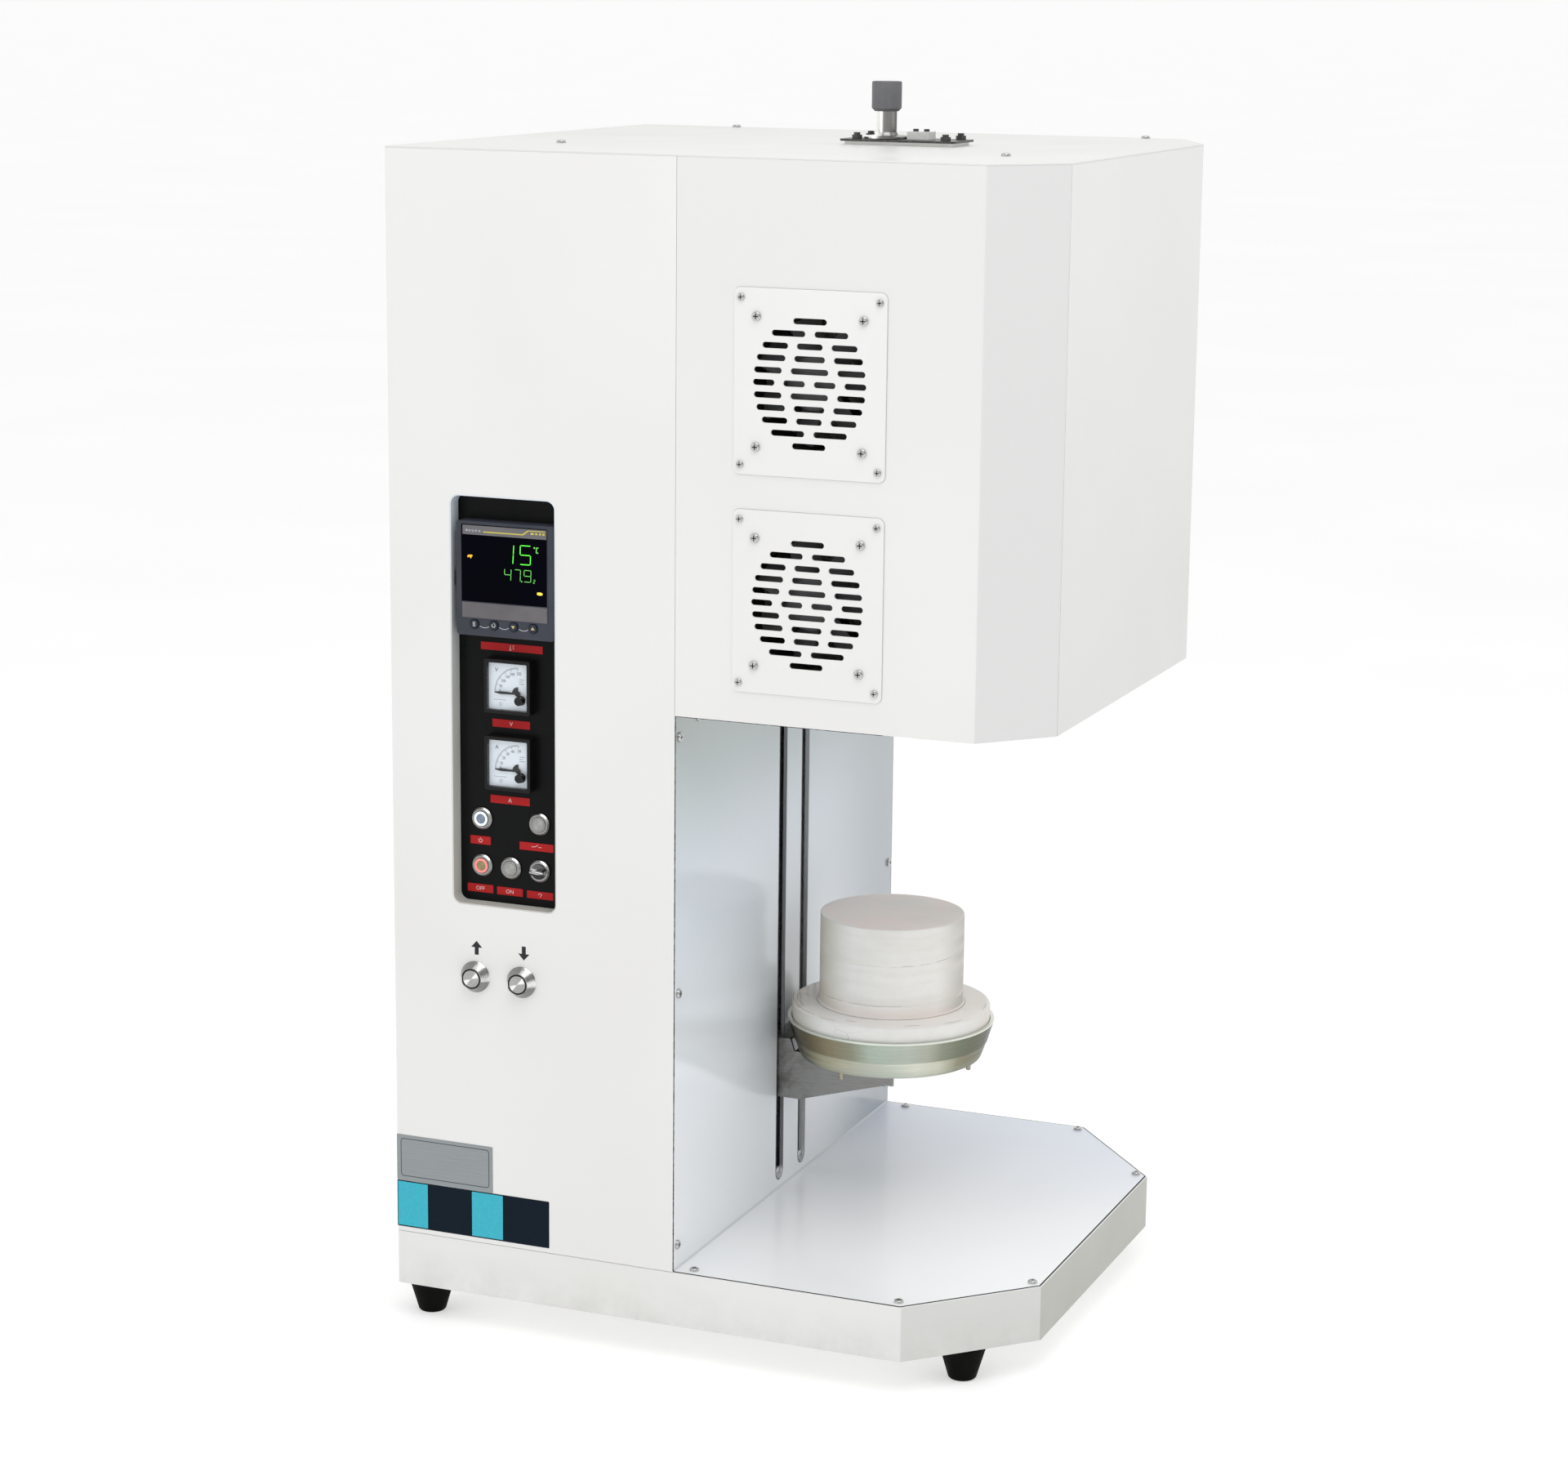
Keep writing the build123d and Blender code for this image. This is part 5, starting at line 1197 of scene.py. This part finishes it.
# sealed corner between the inner wall and the base plate
bm = bmesh.new()
for tri in ([(283.03, 52.03), (284.5, 52.03), (283.03, 53.5)],):
    va = [bm.verts.new(L(x, 3.2, z)) for x, z in tri]
    vb = [bm.verts.new(L(x, 556.8, z)) for x, z in tri]
    bm.faces.new(va)
    bm.faces.new(vb[::-1])
    for i in range(3):
        j = (i + 1) % 3
        bm.faces.new((va[i], va[j], vb[j], vb[i]))
bmesh.ops.recalc_face_normals(bm, faces=bm.faces[:])
make("corner_seal", bm, mat_seal, "cabinet", slot="bay_paint")

# painted shade: dark arcs on the board's top where the layers lift
mat_flake_shade = print_ink("board_flake_shade_lines", (0.30, 0.27, 0.24), 0.8)
bm = bmesh.new()
for r, a0, a1, w in ((94.3, -176, -146, 0.34), (92.6, -158, -121, 0.30), (90.2, -172, -151, 0.36), (88.1, -163, -140, 0.26), (93.4, -116, -103, 0.24),
                     (94.0, -37, -24, 0.26), (91.0, -62, -52, 0.2), (86.0, -99, -92, 0.24), (92.0, 2, 15, 0.26)):
    n = max(3, int((a1 - a0) / 2))
    rows = []
    for i in range(n + 1):
        t = i / n
        a = math.radians(a0 + (a1 - a0) * t)
        wob = 1.1 * noise.noise(Vector((a * 9.0, r * 0.3, 0.2)))
        hw = w * math.sin(math.pi * (0.08 + 0.84 * t)) * 0.5
        rows.append([bm.verts.new(L(CX + (r + wob + q * hw) * math.cos(a), CY + (r + wob + q * hw) * math.sin(a), zq)) for q, zq in ((-1, 247.46), (1, 247.46), (1, 247.58), (-1, 247.58))])
    for i in range(n):
        for k in range(4):
            j = (k + 1) % 4
            bm.faces.new((rows[i][k], rows[i][j], rows[i + 1][j], rows[i + 1][k]))
    bm.faces.new(rows[0])
    bm.faces.new(rows[-1][::-1])
bmesh.ops.recalc_face_normals(bm, faces=bm.faces[:])
make("board_flake_shade_lines", bm, mat_flake_shade, "lift", slot="fibre_board")

# painted shadow line: a thin grey frame round the fan plates
mat_plate_shadow_line = print_ink("plate_shadow_line", (0.60, 0.60, 0.59), 0.5)
for i, zc in enumerate(FAN_Z):
    bm = bmesh.new()
    frame_ring(bm, rrect(FAN_X - 70.45, FAN_X + 70.45, zc - 80.95, zc + 80.95, 6.4), rrect(FAN_X - 70.05, FAN_X + 70.05, zc - 80.55, zc + 80.55, 6.05), -0.22, -0.01)
    make(f"fan_plate_shadow_line_{i + 1}", bm, mat_plate_shadow_line, "cabinet", slot="grille_paint")

# painted shadow: dark crosses deep in the screw heads, standing in for the shade in their recesses
mat_recess_shadow = plastic("screw_recess_shadow", (0.06, 0.06, 0.06), 0.5, spec=0.3)
FAN_SMALL, FAN_BIG = (63.5, 72.0), (49.0, 56.15)
bm = bmesh.new()
for zc in FAN_Z:
    for sx in (-1, 1):
        for sz in (-1, 1):
            for (hx, hz), rh, hh in ((FAN_SMALL, 3.4, 2.0), (FAN_BIG, 4.2, 2.6)):
                cx_, cz_ = FAN_X + sx * hx, zc + sz * hz
                ya, yb = -1.5 - hh * 0.86, -1.5 - hh * 0.56
                for w, h in ((rh * 0.56, rh * 0.125), (rh * 0.125, rh * 0.56)):
                    block(bm, cx_ - w, cx_ + w, ya, yb, cz_ - h, cz_ + h)
make("fan_screw_recess_shadows", bm, mat_recess_shadow, "cabinet", slot="bright_screws")
bm = bmesh.new()
for x, y, z in [(a_, b_, 52.0) for a_, b_ in ((300, 12), (499.5, 11.5), (593.5, 107), (592, 437), (496, 549), (307, 549))] + \
        [(a_, b_, 1060.0) for a_, b_ in ((108, 137), (534, 135), (537, 546), (108, 546))]:
    for w, h in ((2.45, 0.55), (0.55, 2.45)):
        block(bm, x - w, x + w, y - h, y + h, z + 2.6 * 0.56, z + 2.6 * 0.86)
for y, z in WALL_SCREWS:
    for w, h in ((2.45, 0.55), (0.55, 2.45)):
        block(bm, 283.0 + 2.6 * 0.56, 283.0 + 2.6 * 0.86, y - w, y + w, z - h, z + h)
make("panel_screw_recess_shadows", bm, mat_recess_shadow, "cabinet", slot="bright_screws")

# ---------------------------------------------------------------------------
# floor, light, camera
# ---------------------------------------------------------------------------
mf = Mat("floor_pale", (0.70, 0.70, 0.70), 0.9, spec=0.1)
mf.color(mf.mix(mf.map(mf.noise(1.3, 3.0, 0.5), 0.35, 0.65), (0.69, 0.69, 0.69), (0.71, 0.71, 0.71)))
mf.glow((1, 1, 1), 0.42)
mf.bump(mf.noise(60, 2.0, 0.5), 0.02, 0.001)
bm = bmesh.new()
S = 260.0
vs = [bm.verts.new((x, y, 0)) for x, y in ((-S, -S), (S, -S), (S, S), (-S, S))]
bm.faces.new(vs)
me = bpy.data.meshes.new("floor")
bm.to_mesh(me)
bm.free()
floor = bpy.data.objects.new("floor", me)
me.materials.append(mf.mat)
bpy.context.scene.collection.objects.link(floor)

world = bpy.data.worlds.new("studio")
bpy.context.scene.world = world
world.use_nodes = True
nt = world.node_tree
nt.nodes.clear()
wo = nt.nodes.new("ShaderNodeOutputWorld")
bg = nt.nodes.new("ShaderNodeBackground")
tc = nt.nodes.new("ShaderNodeTexCoord")
sx = nt.nodes.new("ShaderNodeSeparateXYZ")
def world_range(out, a, b, c, d):
    n = nt.nodes.new("ShaderNodeMapRange")
    n.interpolation_type = "SMOOTHSTEP"
    for k, v in (("From Min", a), ("From Max", b), ("To Min", c), ("To Max", d)):
        n.inputs[k].default_value = v
    nt.links.new(out, n.inputs["Value"])
    return n.outputs["Result"]


nt.links.new(tc.outputs["Generated"], sx.inputs[0])
back = world_range(sx.outputs[1], -0.3, 0.3, 0.0, 1.0)
ahead = world_range(sx.outputs[0], -0.5, 0.5, 0.70, 0.33)
rest = world_range(sx.outputs[0], -0.5, 0.5, 0.30, 0.67)
mu = nt.nodes.new("ShaderNodeMath")
mu.operation = "MULTIPLY_ADD"
nt.links.new(back, mu.inputs[0])
nt.links.new(rest, mu.inputs[1])
nt.links.new(ahead, mu.inputs[2])
nt.links.new(mu.outputs[0], bg.inputs["Strength"])
bg.inputs["Color"].default_value = (1, 1, 1, 1)
nt.links.new(bg.outputs[0], wo.inputs["Surface"])


def area(name, loc, target, size, power, color=(1, 1, 1)):
    li = bpy.data.lights.new(name, "AREA")
    li.shape = "RECTANGLE"
    li.size, li.size_y = size
    li.energy = power
    li.color = color
    o = bpy.data.objects.new(name, li)
    bpy.context.scene.collection.objects.link(o)
    o.location = loc
    o.rotation_euler = (Vector(target) - Vector(loc)).to_track_quat("-Z", "Y").to_euler()
    return o


area("key_left", (-2.6, -3.2, 1.8), (0, 0, 0.5), (2.0, 2.0), 11)
area("key_high", (0.9, -1.5, 3.2), (0.05, -0.1, 0.1), (2.4, 2.4), 38)

# camera solved from the photograph
YAW, PITCH, ROLL, FPX = 0.3849, 0.2088, -0.0106, 4410.8477
fw = Vector((-math.sin(YAW) * math.cos(PITCH), math.cos(YAW) * math.cos(PITCH), -math.sin(PITCH)))
rt = Vector((math.cos(YAW), math.sin(YAW), 0))
dn = fw.cross(rt)
r2 = math.cos(ROLL) * rt + math.sin(ROLL) * dn
d2 = -math.sin(ROLL) * rt + math.cos(ROLL) * dn
cam = bpy.data.cameras.new("camera")
cam.sensor_fit = "HORIZONTAL"
cam.sensor_width = 36.0
cam.lens = FPX / 1920 * 36.0
cam.clip_start, cam.clip_end = 0.05, 2000
co = bpy.data.objects.new("camera", cam)
bpy.context.scene.collection.objects.link(co)
m = Matrix.Identity(4)
for k, v in enumerate((r2, -d2, -fw)):
    for i in range(3):
        m[i][k] = v[i]
loc = L(1542.673, -2851.1221, 1211.38)
for i in range(3):
    m[i][3] = loc[i]
co.matrix_world = m
bpy.context.scene.camera = co
bpy.context.scene.view_settings.view_transform = "Standard"
